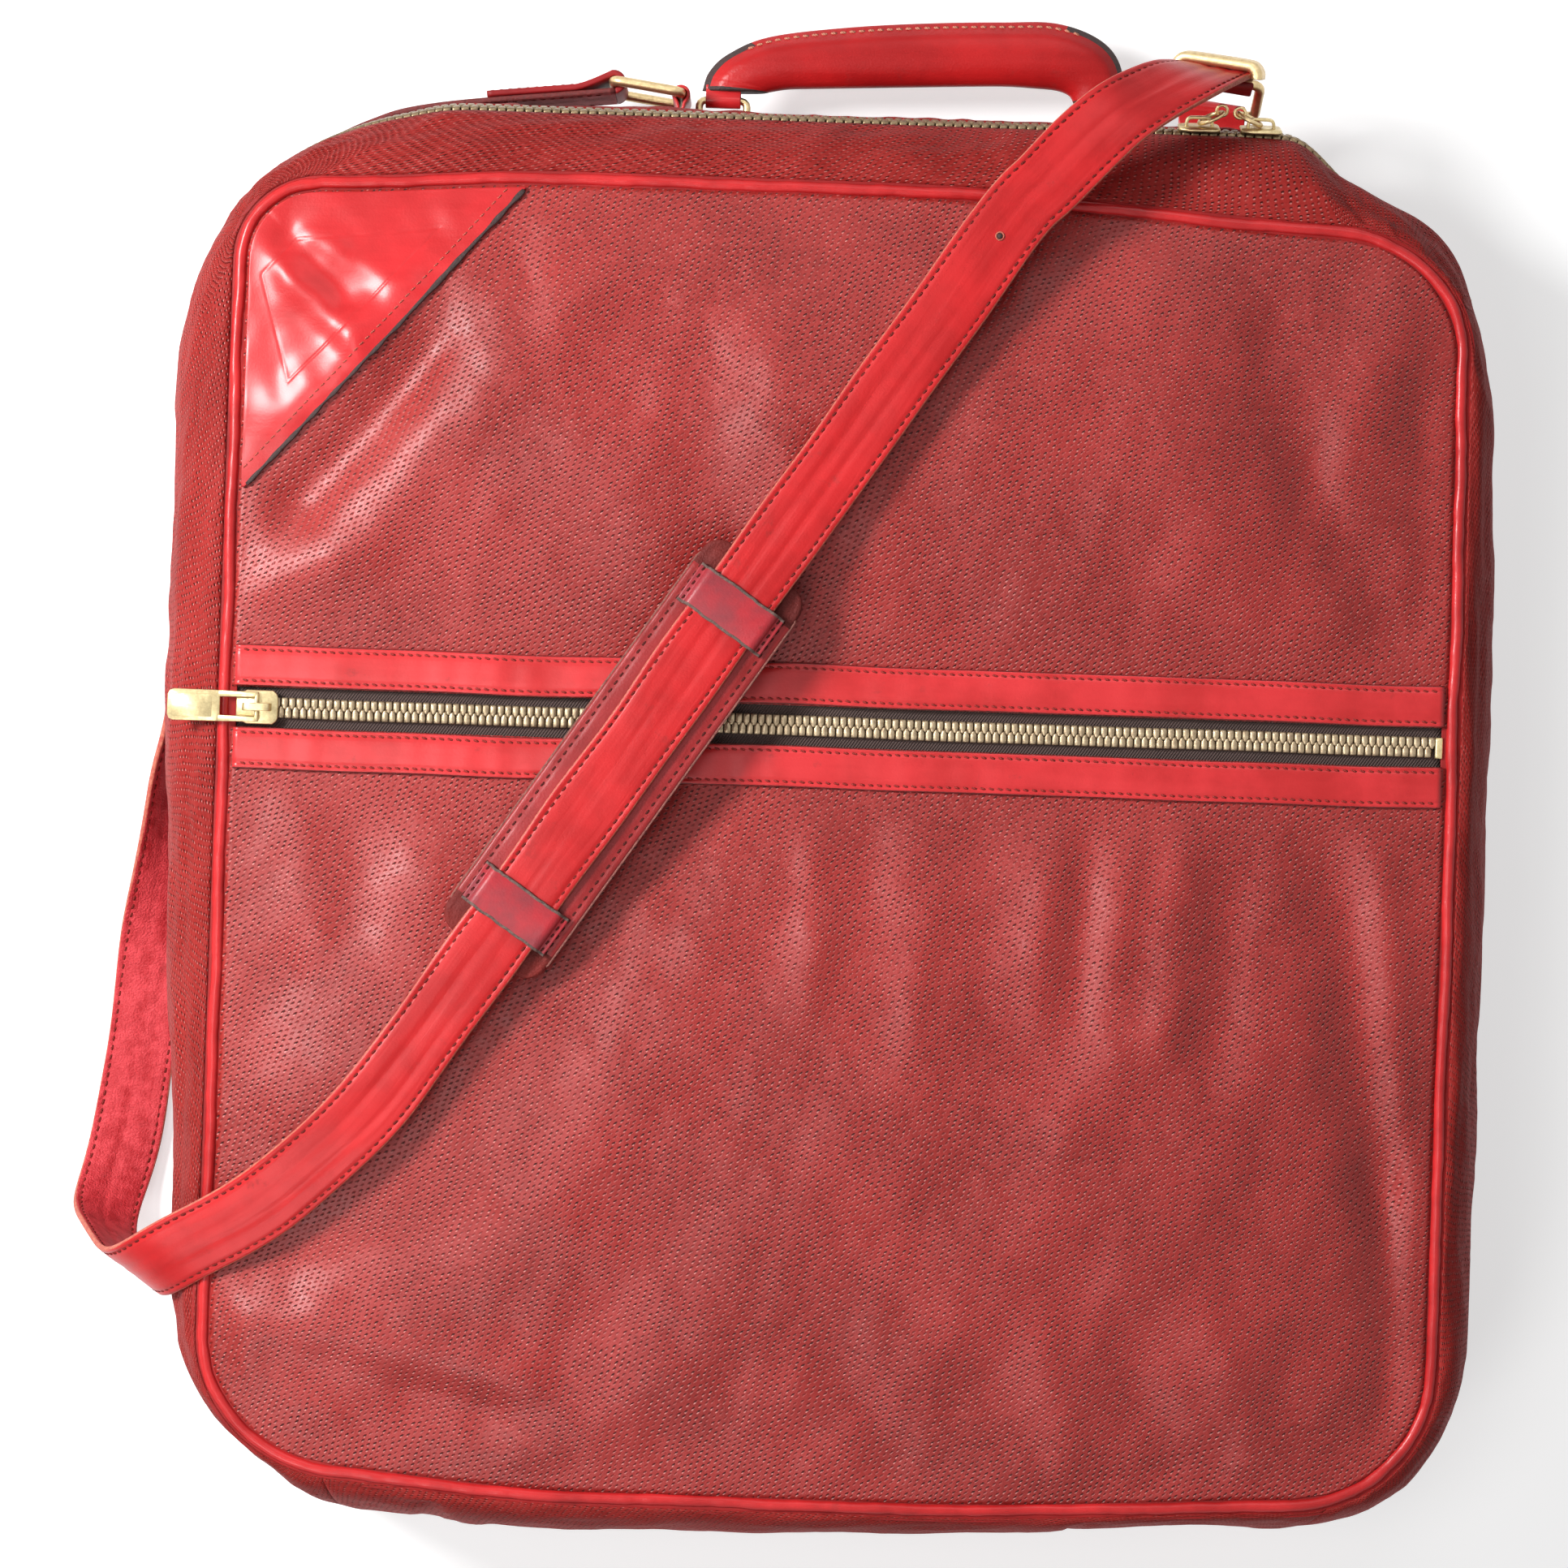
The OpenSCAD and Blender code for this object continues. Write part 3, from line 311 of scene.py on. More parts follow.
class Parts:
    """Collects closed shells that make one piece."""

    def __init__(self):
        self.points = []
        self.faces = []

    def add(self, points, faces):
        start = sum(len(p) for p in self.points)
        self.points.append(np.asarray(points, float))
        self.faces += [[int(v) + start for v in f] for f in faces]
        return self

    def loft(self, path, up, section, loop=False):
        path = np.asarray(path, float)
        _, side, over = frames(path, up, loop)
        return self.add(loft_points(path, side, over, section), loft_faces(len(path), np.shape(section)[-2], loop))

    def slab(self, outline, place, z0, z1, bevel):
        """A flat plate of any outline, counter-clockwise, with bevelled edges."""
        o = np.asarray(outline, float)
        inward = o - unit(np.roll(o, -1, 0) - o)[:, ::-1] * [1, -1] * 0
        edge_in = unit(np.roll(o, -1, 0) - o)
        edge_out = unit(o - np.roll(o, 1, 0))
        push = unit(np.stack([-(edge_in + edge_out)[:, 1], (edge_in + edge_out)[:, 0]], -1)) * bevel
        inward = o + push
        rings = [(inward, z0), (o, z0 + bevel), (o, z1 - bevel), (inward, z1)]
        points = np.concatenate([np.column_stack([p, np.full(len(p), z)]) for p, z in rings])
        return self.add(place(points), loft_faces(4, len(o)))

    def piece(self, name, finish, body, slot, stands_for=()):
        return make_piece(name, np.concatenate(self.points), self.faces, finish, body, stands_for)


print("helpers ready")

# %% [markdown]
# ## Finishes
# Every finish is made of nodes: a colour that wanders a little, a grain with a bump, and a
# roughness that follows both. The pattern lies in millimetres, along the cloth where a piece
# carries the attribute "lay", and in space elsewhere.

# %% A small helper for shader nodes


class Finish:
    def __init__(self, name):
        self.material = bpy.data.materials.new(name)
        self.material.use_nodes = True
        self.tree = self.material.node_tree
        self.shader = self.tree.nodes["Principled BSDF"]

    def put(self, socket, value):
        if isinstance(value, bpy.types.NodeSocket):
            self.tree.links.new(value, socket)
        else:
            socket.default_value = value

    def node(self, kind, out=0, settings=None, **inputs):
        n = self.tree.nodes.new("ShaderNode" + kind)
        for key, value in (settings or {}).items():
            setattr(n, key, value)
        for key, value in inputs.items():
            self.put(n.inputs[int(key[1:])] if key[0] == "_" and key[1:].isdigit() else n.inputs[key], value)
        return n.outputs[out]

    def math(self, operation, a, b=0.5):
        return self.node("Math", settings={"operation": operation}, _0=a, _1=b)

    def mix(self, share, a, b):
        return self.node("Mix", out=2, settings={"data_type": "RGBA"}, _0=share, _6=a, _7=b)

    def ramp(self, value, *stops):
        n = self.tree.nodes.new("ShaderNodeValToRGB")
        self.tree.links.new(value, n.inputs[0])
        while len(n.color_ramp.elements) < len(stops):
            n.color_ramp.elements.new(0.5)
        for element, (place, level) in zip(n.color_ramp.elements, stops):
            element.position = place
            element.color = (level, level, level, 1)
        return n.outputs[0]

    def fade(self, value, start, end):
        """0 at start and 1 at end, smoothly; start may be the larger one."""
        low, high = min(start, end), max(start, end)
        share = self.node("MapRange", settings={"interpolation_type": "SMOOTHSTEP"}, _0=value, _1=low, _2=high)
        return share if start < end else self.math("SUBTRACT", 1.0, share)

    def places(self, laid):
        """Coordinates in millimetres: along the cloth, or in space."""
        if laid:
            return self.node("Attribute", out=1, settings={"attribute_name": "lay"})
        space = self.node("TexCoord", out=3)
        return self.node("VectorMath", settings={"operation": "SCALE"}, Vector=space, Scale=1 / MM)

    def noise(self, where, size, detail=2.0, rough=0.5):
        return self.node("TexNoise", Vector=where, Scale=1 / size, Detail=detail, Roughness=rough)

    def bump(self, height, distance, under=None):
        inputs = {"Height": height, "Distance": distance * MM}
        if under is not None:
            inputs["Normal"] = under
        return self.node("Bump", **inputs)

    def set(self, **inputs):
        for key, value in inputs.items():
            self.put(self.shader.inputs[key.replace("_", " ")], value)
        return self.material


def rgb(r, g, b):
    return (r, g, b, 1)


print("nodes ready")

# %% [markdown]
# ### Coated canvas
# The cloth has small slanted pits pressed into it in staggered rows. A Voronoi texture without
# much randomness is a square lattice, and turned by 45 degrees and stretched it becomes such
# rows. The way from a point to its pit's centre then tells how deep the pit is there.

# %% Coated canvas
PIT_PITCH, ROW_PITCH = 2.75, 1.85


def canvas_finish(name, gloss=0.37, dry=0.0, shade_factor=1.0):
    f = Finish(name)

    # The last argument darkens every colour of the canvas: a painted shade, which the gussets get.
    def shaded_colour(*colour):
        return rgb(*(shade_factor * v for v in colour))

    where = f.places(True)
    drift = f.node("TexNoise", out=1, Vector=where, Scale=1 / 35, Detail=1.0)
    bent = f.node("VectorMath", settings={"operation": "MULTIPLY_ADD"}, _0=drift, _1=(4, 4, 0), _2=where)
    rows = f.node("Mapping", Vector=bent, Rotation=(0, 0, math.radians(-20)))
    squeeze = (math.sqrt(2) / PIT_PITCH, math.sqrt(0.5) / ROW_PITCH, 1)
    turn = (0, 0, math.radians(45))
    cells = f.node("Mapping", Vector=rows, Scale=squeeze, Rotation=turn)
    lattice = {"Vector": cells, "Scale": 1.0, "Randomness": 0.22}
    centre = f.node("TexVoronoi", out=2, settings={"voronoi_dimensions": "2D"}, **lattice)
    chance = f.node("TexVoronoi", out=1, settings={"voronoi_dimensions": "2D"}, **lattice)
    away = f.node("VectorMath", settings={"operation": "SUBTRACT"}, _0=cells, _1=centre)
    away = f.node("Mapping", settings={"vector_type": "TEXTURE"}, Vector=away, Rotation=turn, Scale=squeeze)

    def spot(shift, size, soft):
        leaf = f.node("Mapping", settings={"vector_type": "TEXTURE"}, Vector=away, Location=(*shift, 0),
                      Rotation=(0, 0, math.radians(16)), Scale=(*size, 1))
        far = f.node("VectorMath", out=1, settings={"operation": "LENGTH"}, _0=leaf)
        return f.fade(far, soft, 0.35)

    luck = f.node("SeparateColor", Color=chance)
    worn = f.fade(f.noise(where, 28, 3.0), 0.3, 0.62)
    strong = f.math("MULTIPLY", f.math("ADD", luck, 0.55), f.math("ADD", f.math("MULTIPLY", worn, 0.45), 0.6))
    pit = f.math("MULTIPLY", spot((0, 0), (0.80, 0.34), 1.35), strong)
    # Beside each pit lies a light speck: a painted highlight on its rim.
    rim = f.math("MULTIPLY", spot((-0.60, -0.45), (0.62, 0.28), 1.3), f.math("ADD", luck, 0.2))
    broad = f.fade(f.noise(where, 70, 3.0), 0.36, 0.64)
    mottle = f.fade(f.noise(where, 4, 4.0, 0.65), 0.32, 0.68)
    body = f.mix(broad, shaded_colour(0.252, 0.0125, 0.010), shaded_colour(0.338, 0.022, 0.019))
    body = f.mix(f.math("MULTIPLY", mottle, 0.42), body, shaded_colour(0.43, 0.044, 0.039))
    # The pits are painted nearly black: a painted shade in the recesses.
    colour = f.mix(f.math("MULTIPLY", pit, 0.92), body, rgb(0.062, 0.008, 0.007))
    # Mix in the painted highlight beside each pit.
    colour = f.mix(f.math("MULTIPLY", rim, 0.7), colour, rgb(0.76, 0.30, 0.27))
    grain = f.noise(where, 0.55, 3.0, 0.6)
    height = f.math("SUBTRACT", f.math("MULTIPLY", grain, 0.3), pit)
    rough = f.math("ADD", f.math("MULTIPLY", mottle, 0.12), f.math("ADD", f.math("MULTIPLY", pit, 0.3), 0.31 + dry))
    f.set(Base_Color=colour, Roughness=rough, Normal=f.bump(height, 0.34))
    return f.set(Coat_Weight=0.0, Specular_IOR_Level=gloss)


canvas = canvas_finish("coated_canvas")
# The gussets take the same canvas with less gloss and colours 7 percent darker: a painted shade on the sides.
shaded_side_canvas = canvas_finish("coated_canvas_sides_shaded", 0.10, 0.20, 0.93)
print(f"pits every {PIT_PITCH} mm in rows {ROW_PITCH} mm apart")

# %% [markdown]
# ### Leathers
# Smooth dyed leather shows a very fine grain, clouds of darker red, and small dirty rubs. The
# strap is drier and creased along its length, and the pad is older and browner.

# %% Smooth leathers


def leather_finish(name, light, dark, dirt=0.35, rough=0.3, crease=0.0, coat=0.25, laid=False, bump=0.05,
                   blotch=30):
    f = Finish(name)
    where = f.places(laid)
    clouds = f.fade(f.noise(where, blotch, 4.0, 0.6), 0.34, 0.66)
    streak = f.noise(f.node("Mapping", Vector=where, Scale=(0.08, 1, 1)), 5.5, 3.0)
    lines = f.fade(streak, 0.36, 0.66)
    paler = [min(0.8, 1.15 * v + 0.02) for v in light]
    colour = f.mix(clouds, rgb(*dark), rgb(*light))
    colour = f.mix(f.math("MULTIPLY", lines, 0.15 + crease), colour, rgb(*paler))
    spots = f.fade(f.noise(where, 14, 5.0, 0.7), 0.60, 0.74)
    colour = f.mix(f.math("MULTIPLY", spots, dirt), colour, rgb(0.10, 0.022, 0.018))
    pores = f.node("TexVoronoi", Vector=where, Scale=1 / 0.9)
    grain = f.noise(where, 0.5, 3.0, 0.6)
    height = f.math("ADD", f.math("MULTIPLY", pores, 0.6), f.math("MULTIPLY", grain, 0.5))
    fine = f.bump(height, bump)
    wrinkle = f.bump(lines, 0.05 + 0.35 * crease, fine)
    level = f.math("ADD", f.math("MULTIPLY", clouds, -0.06), f.math("ADD", f.math("MULTIPLY", spots, 0.25), rough + 0.06))
    f.set(Base_Color=colour, Roughness=level, Normal=wrinkle)
    return f.set(Coat_Weight=coat, Coat_Roughness=0.25, Specular_IOR_Level=0.22)


trim = leather_finish("trim_leather_red", (0.66, 0.026, 0.030), (0.50, 0.013, 0.014), 0.4, 0.38, coat=0.45)
grip_leather = leather_finish("grip_leather_red", (0.52, 0.012, 0.013), (0.38, 0.008, 0.009), 0.2, 0.36, coat=0.1, bump=0.08)
patch_leather = leather_finish(
    "patch_leather_red", (0.60, 0.016, 0.020), (0.46, 0.008, 0.010), 0.04, 0.38, coat=0.38, bump=0.06
)
piping_leather = leather_finish("piping_leather_red", (0.62, 0.022, 0.024), (0.42, 0.012, 0.013), 0.25, 0.28)
strap_face = leather_finish(
    "strap_face_red", (0.58, 0.016, 0.018), (0.42, 0.009, 0.010), 0.4, 0.38, crease=0.14, coat=0.1, laid=True
)
strap_back = leather_finish(
    "strap_inner_face", (0.62, 0.050, 0.062), (0.42, 0.018, 0.024), 0.3, 0.5, crease=0.2, coat=0, laid=True, bump=0.5,
    blotch=6
)
pad_leather = leather_finish(
    "pad_leather", (0.34, 0.020, 0.022), (0.23, 0.012, 0.012), 0.5, 0.44, coat=0.2, laid=True, bump=0.12
)
keeper_leather = leather_finish(
    "keeper_leather", (0.46, 0.026, 0.036), (0.25, 0.036, 0.046), 0.5, 0.36, coat=0.1, bump=0.08, blotch=19
)
worn_leather = leather_finish("worn_pad_end", (0.20, 0.020, 0.016), (0.10, 0.012, 0.010), 0.6, 0.6, coat=0, bump=0.3)
flange_leather = leather_finish("piping_flange_red", (0.34, 0.014, 0.014), (0.22, 0.009, 0.009), 0.5, 0.5, coat=0)
print("leathers:", len(bpy.data.materials))

# %% [markdown]
# ### Edges, thread, zip tape and brass
# Cut edges show raw tan leather or dark edge paint, and a dark red edge is painted shade where the strap's end
# runs low. The zip tape is a fine twill, which two crossing waves make. The brass is aged: bright where fingers polish
# it and brown in its hollows.

# %% Edge paint, thread, tape, lining and metal


def edge_finish(name, light, dark, rough):
    f = Finish(name)
    where = f.places(False)
    fibre = f.ramp(f.noise(where, 1.6, 5.0, 0.7), (0.3, 0.0), (0.7, 1.0))
    f.set(Base_Color=f.mix(fibre, rgb(*dark), rgb(*light)), Roughness=rough)
    return f.set(Normal=f.bump(fibre, 0.25))


raw_edge = edge_finish("raw_strap_edge", (0.62, 0.20, 0.12), (0.42, 0.035, 0.03), 0.6)
keeper_edge = edge_finish("worn_keeper_edge", (0.20, 0.12, 0.10), (0.05, 0.026, 0.022), 0.7)
dark_edge = edge_finish("dark_edge_paint", (0.050, 0.018, 0.016), (0.016, 0.008, 0.007), 0.6)
# A dark red edge: painted shade on the strap's cut edge where it runs low round the bag.
shaded_strap_edge = edge_finish("shaded_strap_edge", (0.20, 0.020, 0.018), (0.09, 0.010, 0.009), 0.6)
pad_edge = edge_finish("worn_pad_edge", (0.36, 0.13, 0.10), (0.13, 0.028, 0.024), 0.7)
band_edge = edge_finish("band_edge_paint", (0.30, 0.012, 0.012), (0.08, 0.010, 0.009), 0.4)


def thread_finish(name, colour):
    f = Finish(name)
    where = f.places(False)
    twist = f.node("TexWave", Vector=where, Scale=0.55, Distortion=0.6, settings={"bands_direction": "DIAGONAL"})
    level = f.ramp(twist, (0.2, 0.0), (0.8, 1.0))
    shade = [c * 0.55 for c in colour]
    f.set(Base_Color=f.mix(level, rgb(*shade), rgb(*colour)), Roughness=0.8)
    return f.set(Normal=f.bump(level, 0.12), Specular_IOR_Level=0.2)


red_thread = thread_finish("red_thread", (0.66, 0.13, 0.10))
band_thread = thread_finish("band_thread", (0.40, 0.045, 0.038))
tan_thread = thread_finish("tan_thread", (0.74, 0.30, 0.20))
brown_thread = thread_finish("red_brown_thread", (0.24, 0.022, 0.018))
dark_thread = thread_finish("dark_thread", (0.12, 0.018, 0.015))


def twill_finish():
    f = Finish("zip_twill")
    where = f.places(False)
    turned = f.node("Mapping", Vector=where, Rotation=(0, 0, math.radians(35)))
    rib = f.node("TexWave", Vector=turned, Scale=0.33, Distortion=0.5, settings={"bands_direction": "X"})
    cross = f.node("TexWave", Vector=where, Scale=0.5, Distortion=0.3, settings={"bands_direction": "Y"})
    height = f.math("ADD", rib, f.math("MULTIPLY", cross, 0.4))
    dust = f.ramp(f.noise(where, 8, 4.0, 0.7), (0.45, 0.0), (0.8, 1.0))
    colour = f.mix(f.math("MULTIPLY", height, 0.7), rgb(0.018, 0.009, 0.008), rgb(0.11, 0.066, 0.058))
    colour = f.mix(f.math("MULTIPLY", dust, 0.25), colour, rgb(0.12, 0.075, 0.06))
    f.set(Base_Color=colour, Roughness=0.72)
    return f.set(Normal=f.bump(height, 0.3))


tape = twill_finish()


def brass_finish(name, bright, dull, wear, metal=0.92):
    f = Finish(name)
    where = f.places(False)
    tarnish = f.ramp(f.noise(where, 2.2, 5.0, 0.7), (0.35, 0.0), (0.68, 1.0))
    hollow = f.node("NewGeometry", out=7)
    exposed = f.ramp(hollow, (0.47, 0.0), (0.53, 1.0))
    share = f.math("ADD", f.math("MULTIPLY", tarnish, wear), f.math("MULTIPLY", exposed, 1 - wear))
    scratches = f.noise(f.node("Mapping", Vector=where, Scale=(0.2, 2, 2)), 0.5, 2.0)
    f.set(Base_Color=f.mix(share, rgb(*dull), rgb(*bright)), Metallic=metal)
    rough = f.math("SUBTRACT", 0.54, f.math("MULTIPLY", share, 0.24))
    return f.set(Roughness=rough, Normal=f.bump(f.math("ADD", scratches, f.math("MULTIPLY", tarnish, 0.5)), 0.04))


zip_brass = brass_finish("zip_brass_aged", (0.80, 0.66, 0.36), (0.36, 0.26, 0.13), 0.6)
tooth_brass = brass_finish("tooth_brass_worn", (0.50, 0.39, 0.25), (0.17, 0.11, 0.065), 0.7, 0.75)
# The main zip's teeth are a darker copy of the same brass: painted shade along the bag's top edge.
shaded_main_tooth_brass = brass_finish("tooth_brass_shaded", (0.34, 0.25, 0.14), (0.10, 0.06, 0.04), 0.7, 0.8)
ring_brass = brass_finish("ring_brass_aged", (0.80, 0.62, 0.34), (0.34, 0.22, 0.10), 0.45)


def plain_cloth_finish(name, light, dark, size):
    f = Finish(name)
    where = f.places(False)
    warp = f.node("TexWave", Vector=where, Scale=0.32 / size, settings={"bands_direction": "X"})
    weft = f.node("TexWave", Vector=where, Scale=0.32 / size, settings={"bands_direction": "Y"})
    weave = f.math("MULTIPLY", warp, weft)
    f.set(Base_Color=f.mix(weave, rgb(*dark), rgb(*light)), Roughness=0.8)
    return f.set(Normal=f.bump(weave, 0.2))


lining = plain_cloth_finish("lining_cloth", (0.16, 0.11, 0.08), (0.09, 0.06, 0.045), 0.8)
board = plain_cloth_finish("board_cover", (0.15, 0.10, 0.07), (0.10, 0.07, 0.05), 1.5)
rope = plain_cloth_finish("rope_fibre", (0.52, 0.44, 0.32), (0.34, 0.28, 0.19), 2.0)
print("finishes made:", len(bpy.data.materials))

# %% [markdown]
# ## Fields for folds
# Soft goods are never smooth. A fold here is a line with a width and a height, and the sheet is
# pushed up or down along it. Slow waves with seeded directions stand for the lumps of the
# filling, and short waves square to a seam are its puckers.

# %% Folds, waves and puckers


def waves(x, y, size, seed, count=14):
    draw = random.Random(seed)
    total = np.zeros_like(x, float)
    for _ in range(count):
        a = draw.uniform(0, 2 * math.pi)
        k = 2 * math.pi / (size * draw.uniform(0.7, 1.5))
        total += np.sin(k * (x * math.cos(a) + y * math.sin(a)) + draw.uniform(0, 2 * math.pi))
    return total / math.sqrt(count / 2)


def along_fold(x, y, fold):
    x0, y0, x1, y1, width, height = fold
    length = math.hypot(x1 - x0, y1 - y0)
    ahead = ((x - x0) * (x1 - x0) + (y - y0) * (y1 - y0)) / length
    bend = 0.12 * width * np.sin(ahead / (2.1 * width))
    off = ((x - x0) * (y1 - y0) - (y - y0) * (x1 - x0)) / length + bend
    fade = width * 1.6
    past = np.maximum(0, np.maximum(-ahead, ahead - length))
    return height * np.exp(-(off / width) ** 2 - (past / fade) ** 2)


def folds_at(x, y, folds):
    return sum(along_fold(x, y, fold) for fold in folds)


def pucker(run, depth, size, reach, seed):
    """Short wrinkles across a seam: run is the way along it and depth the way from it."""
    wave = waves(run, np.zeros_like(run), size, seed, 5)
    return wave * np.exp(-np.maximum(depth, 0) / reach)


print("fold fields ready")

# %% [markdown]
# ## Front panel
# Two stuffed lobes of canvas meet the zip bands. Their rise follows the pattern, and the folds are
# those that a half-filled bag of this cut shows: a long one below the corner patch, short ones that
# hang from the lower band, and soft puffs along the bottom seam.

# %% Shape of the stuffed front
CROWN_UPPER = box_mm("front_panel_upper")[1][2] - front_z
CROWN_LOWER = box_mm("front_panel_lower")[1][2] - front_z
upper_flat = zip_y + slot_half + band_w
lower_flat = zip_y - slot_half - band_w
upper_end = half_h - SEAM_GAP
lower_end = -upper_end
STRAP_CLEAR = box_mm("strap_pad")[0][2] - 0.7

UPPER_FOLDS = [
    (-162, 184, -206, 128, 11, -6.2), (-130, 188, -186, 112, 17, 3.2), (-176, 206, -214, 160, 9, 1.8),
    (-190, 104, -222, 92, 11, 2.4), (-128, 222, -126, 198, 9, -1.6), (-106, 214, -112, 176, 14, 1.4),
    (-28, 175, -24, 112, 13, 2.0), (-56, 170, -48, 104, 14, -1.4), (30, 170, 34, 110, 16, -1.2),
    (160, 218, 176, 150, 15, -2.6), (176, 150, 206, 92, 13, -2.8), (204, 208, 190, 150, 14, 2.6),
    (120, 190, 140, 110, 20, 1.6), (-84, 130, -64, 84, 16, 1.4), (222, 180, 226, 92, 8, -1.6),
    (54, 236, 66, 214, 9, 1.2), (30, 238, 40, 216, 8, -1.0), (84, 236, 96, 216, 9, -0.9),
    (10, 90, 70, 78, 12, -1.2), (-227, 224, -192, 196, 7, 2.0), (-206, 230, -170, 210, 6, 1.2),
    (-214, 232, -196, 208, 5, -0.9), (-224, 190, -218, 168, 6, -0.7), (-200, 196, -184, 178, 5, 0.8),
]
LOWER_FOLDS = [
    (-9, 18, -7, -52, 8, 1.7), (14, 18, 12, -40, 8, -1.2), (32, 18, 32, -66, 9, 1.5),
    (56, 18, 58, -50, 9, -1.2), (81, 18, 80, -58, 8, 1.7), (96, 18, 95, -50, 6, -1.5),
    (112, 18, 108, -72, 8, 1.7), (131, 18, 128, -64, 9, 2.2), (150, 18, 150, -80, 10, -1.8),
    (184, 20, 214, -120, 14, -4.2), (206, 12, 228, -150, 8, 2.2), (214, -120, 222, -205, 11, -3.2),
    (-198, -168, -150, -150, 15, -3.2), (-232, -190, -120, -206, 13, 3.4), (-150, -218, -128, -222, 9, -3.0),
    (-190, -226, -220, -206, 9, 1.4), (-110, -238, -60, -206, 12, 1.8), (-92, -200, -60, -150, 16, -1.6),
    (86, -190, 96, -238, 11, 1.8), (120, -196, 134, -238, 10, -1.8), (150, -182, 168, -232, 11, 2.0),
    (10, -196, 30, -240, 12, -1.4), (60, -120, 76, -60, 20, -1.4), (100, -100, 130, -60, 14, 1.3),
    (-208, 8, -200, -40, 11, 1.6), (-186, 12, -176, -50, 14, -1.3), (-160, -20, -190, -80, 17, 1.4),
    (-60, -70, -110, -140, 17, 1.6), (0, -130, -50, -190, 18, 1.2), (170, -60, 120, -160, 18, 1.2),
]


def side_x(line, y, left):
    """Where a panel's edge is at height y."""
    high = line[4][3][0] if left else line[4][0][0]
    low = line[4][2][0] if left else line[4][1][0]
    over = np.clip(y - (line[3] - high), 0, high)
    under = np.clip(line[2] + low - y, 0, low)
    cut = np.where(over > 0, high - np.sqrt(high ** 2 - over ** 2), low - np.sqrt(low ** 2 - under ** 2))
    return line[0] + cut if left else line[1] - cut


def front_height(x, y):
    """Height of the front's outer face above its seams."""
    line = seam_line(-SEAM_GAP)
    left, right = side_x(line, y, True), side_x(line, y, False)
    s = np.clip(np.abs(2 * (x - left) / np.maximum(right - left, 1) - 1), 0, 1)
    up = y > zip_y
    t = np.where(up, (y - upper_flat) / (upper_end - upper_flat), (y - lower_flat) / (lower_end - lower_flat))
    t = np.clip(t, 0, 1)
    crown = np.where(up, CROWN_UPPER, CROWN_LOWER) * (1 - s ** 3) * np.sin(math.pi * t)
    rim = np.minimum(np.minimum(x - left, right - x), np.where(up, upper_end - y, y - lower_end))
    hold = np.clip(rim / 16, 0, 1) * np.clip(t * 9, 0, 1)
    hold = hold * hold * (3 - 2 * hold)
    folds = np.where(up, folds_at(x, y, UPPER_FOLDS), folds_at(x, y, LOWER_FOLDS))
    lumps = 0.55 * waves(x, y, 95, 3) + 0.28 * waves(x, y, 38, 4) + 0.10 * waves(x, y, 15, 5)
    edge_run = np.where(np.abs(x) * half_h > np.abs(y) * half_w, y, x)
    tucks = 0.30 * pucker(edge_run, rim, 17, 9, 6) * np.clip(rim / 2, 0, 1) * np.clip(t * 40, 0, 1)
    height = crown + hold * (folds + lumps) + tucks
    return np.minimum(height, STRAP_CLEAR - front_z)


def lobe(name, first, last, step):
    ys = np.linspace(first, last, int(abs(last - first) / step) + 1)
    bend = np.linspace(0, 1, int(2 * half_w / step) + 1)
    line = seam_line(-SEAM_GAP)
    left, right = side_x(line, ys, True)[:, None], side_x(line, ys, False)[:, None]
    x = left + (right - left) * bend[None]
    y = np.repeat(ys[:, None], len(bend), 1)
    outer = np.stack([x, y, front_z + front_height(x, y)], -1)
    inner = outer - grid_normals(outer) * np.sign(grid_normals(outer)[..., 2:]) * 1.5
    inner[..., :2] = outer[..., :2]
    return sheet_piece(name, outer, inner, canvas, "shell", (name.replace("canvas", "panel"),), outer[..., :2])


upper_lobe = lobe("front_canvas_upper", zip_y + slot_half, upper_end, 2.2)
lower_lobe = lobe("front_canvas_lower", zip_y - slot_half, lower_end, 2.2)
print("front lobes:", len(upper_lobe.data.vertices), len(lower_lobe.data.vertices), "points")

# %% [markdown]
# ## Gussets
# The gusset is one ring of canvas round the bag, sewn of five pieces. phi runs round its bulge
# from the front seam (0) to the back seam (180), so a fold has a place in u and in phi.

# %% Points of the gusset and its folds


def bulge_rise(us):
    off = line_points(bulge_line, us) - line_points(seam_line(GUSSET_GAP), us)
    ahead = unit(line_points(bulge_line, us + 0.001) - line_points(bulge_line, us - 0.001))
    return np.abs(off[:, 0] * ahead[:, 1] - off[:, 1] * ahead[:, 0])


# How far the bulge falls in, in mm at places u: two slack corners and an uneven bottom edge.
SLACK = [(0, 0), (1.02, 0), (1.3, 11), (1.45, 4), (1.57, -2), (1.73, 0.5), (1.9, 2.5), (2.05, 1.5), (2.2, 0), (3.1, 0),
         (3.3, -3), (3.55, -7), (3.75, -1), (3.9, 3), (4.05, 5), (4.25, 3), (4.4, 0.5), (4.6, -1.5), (4.9, -3.5), (5.15, 0),
         (5.35, 6), (5.6, 10), (5.95, 12), (6.15, 10), (6.35, 5), (6.6, 0), (7.2, 0), (7.5, -4), (7.85, 0), (8, 0)]


def slack_at(us):
    places, falls = zip(*SLACK)
    near = [np.interp((us + d) % 8, places, falls) for d in (-0.08, -0.04, 0, 0.04, 0.08)]
    return np.mean(near, axis=0)


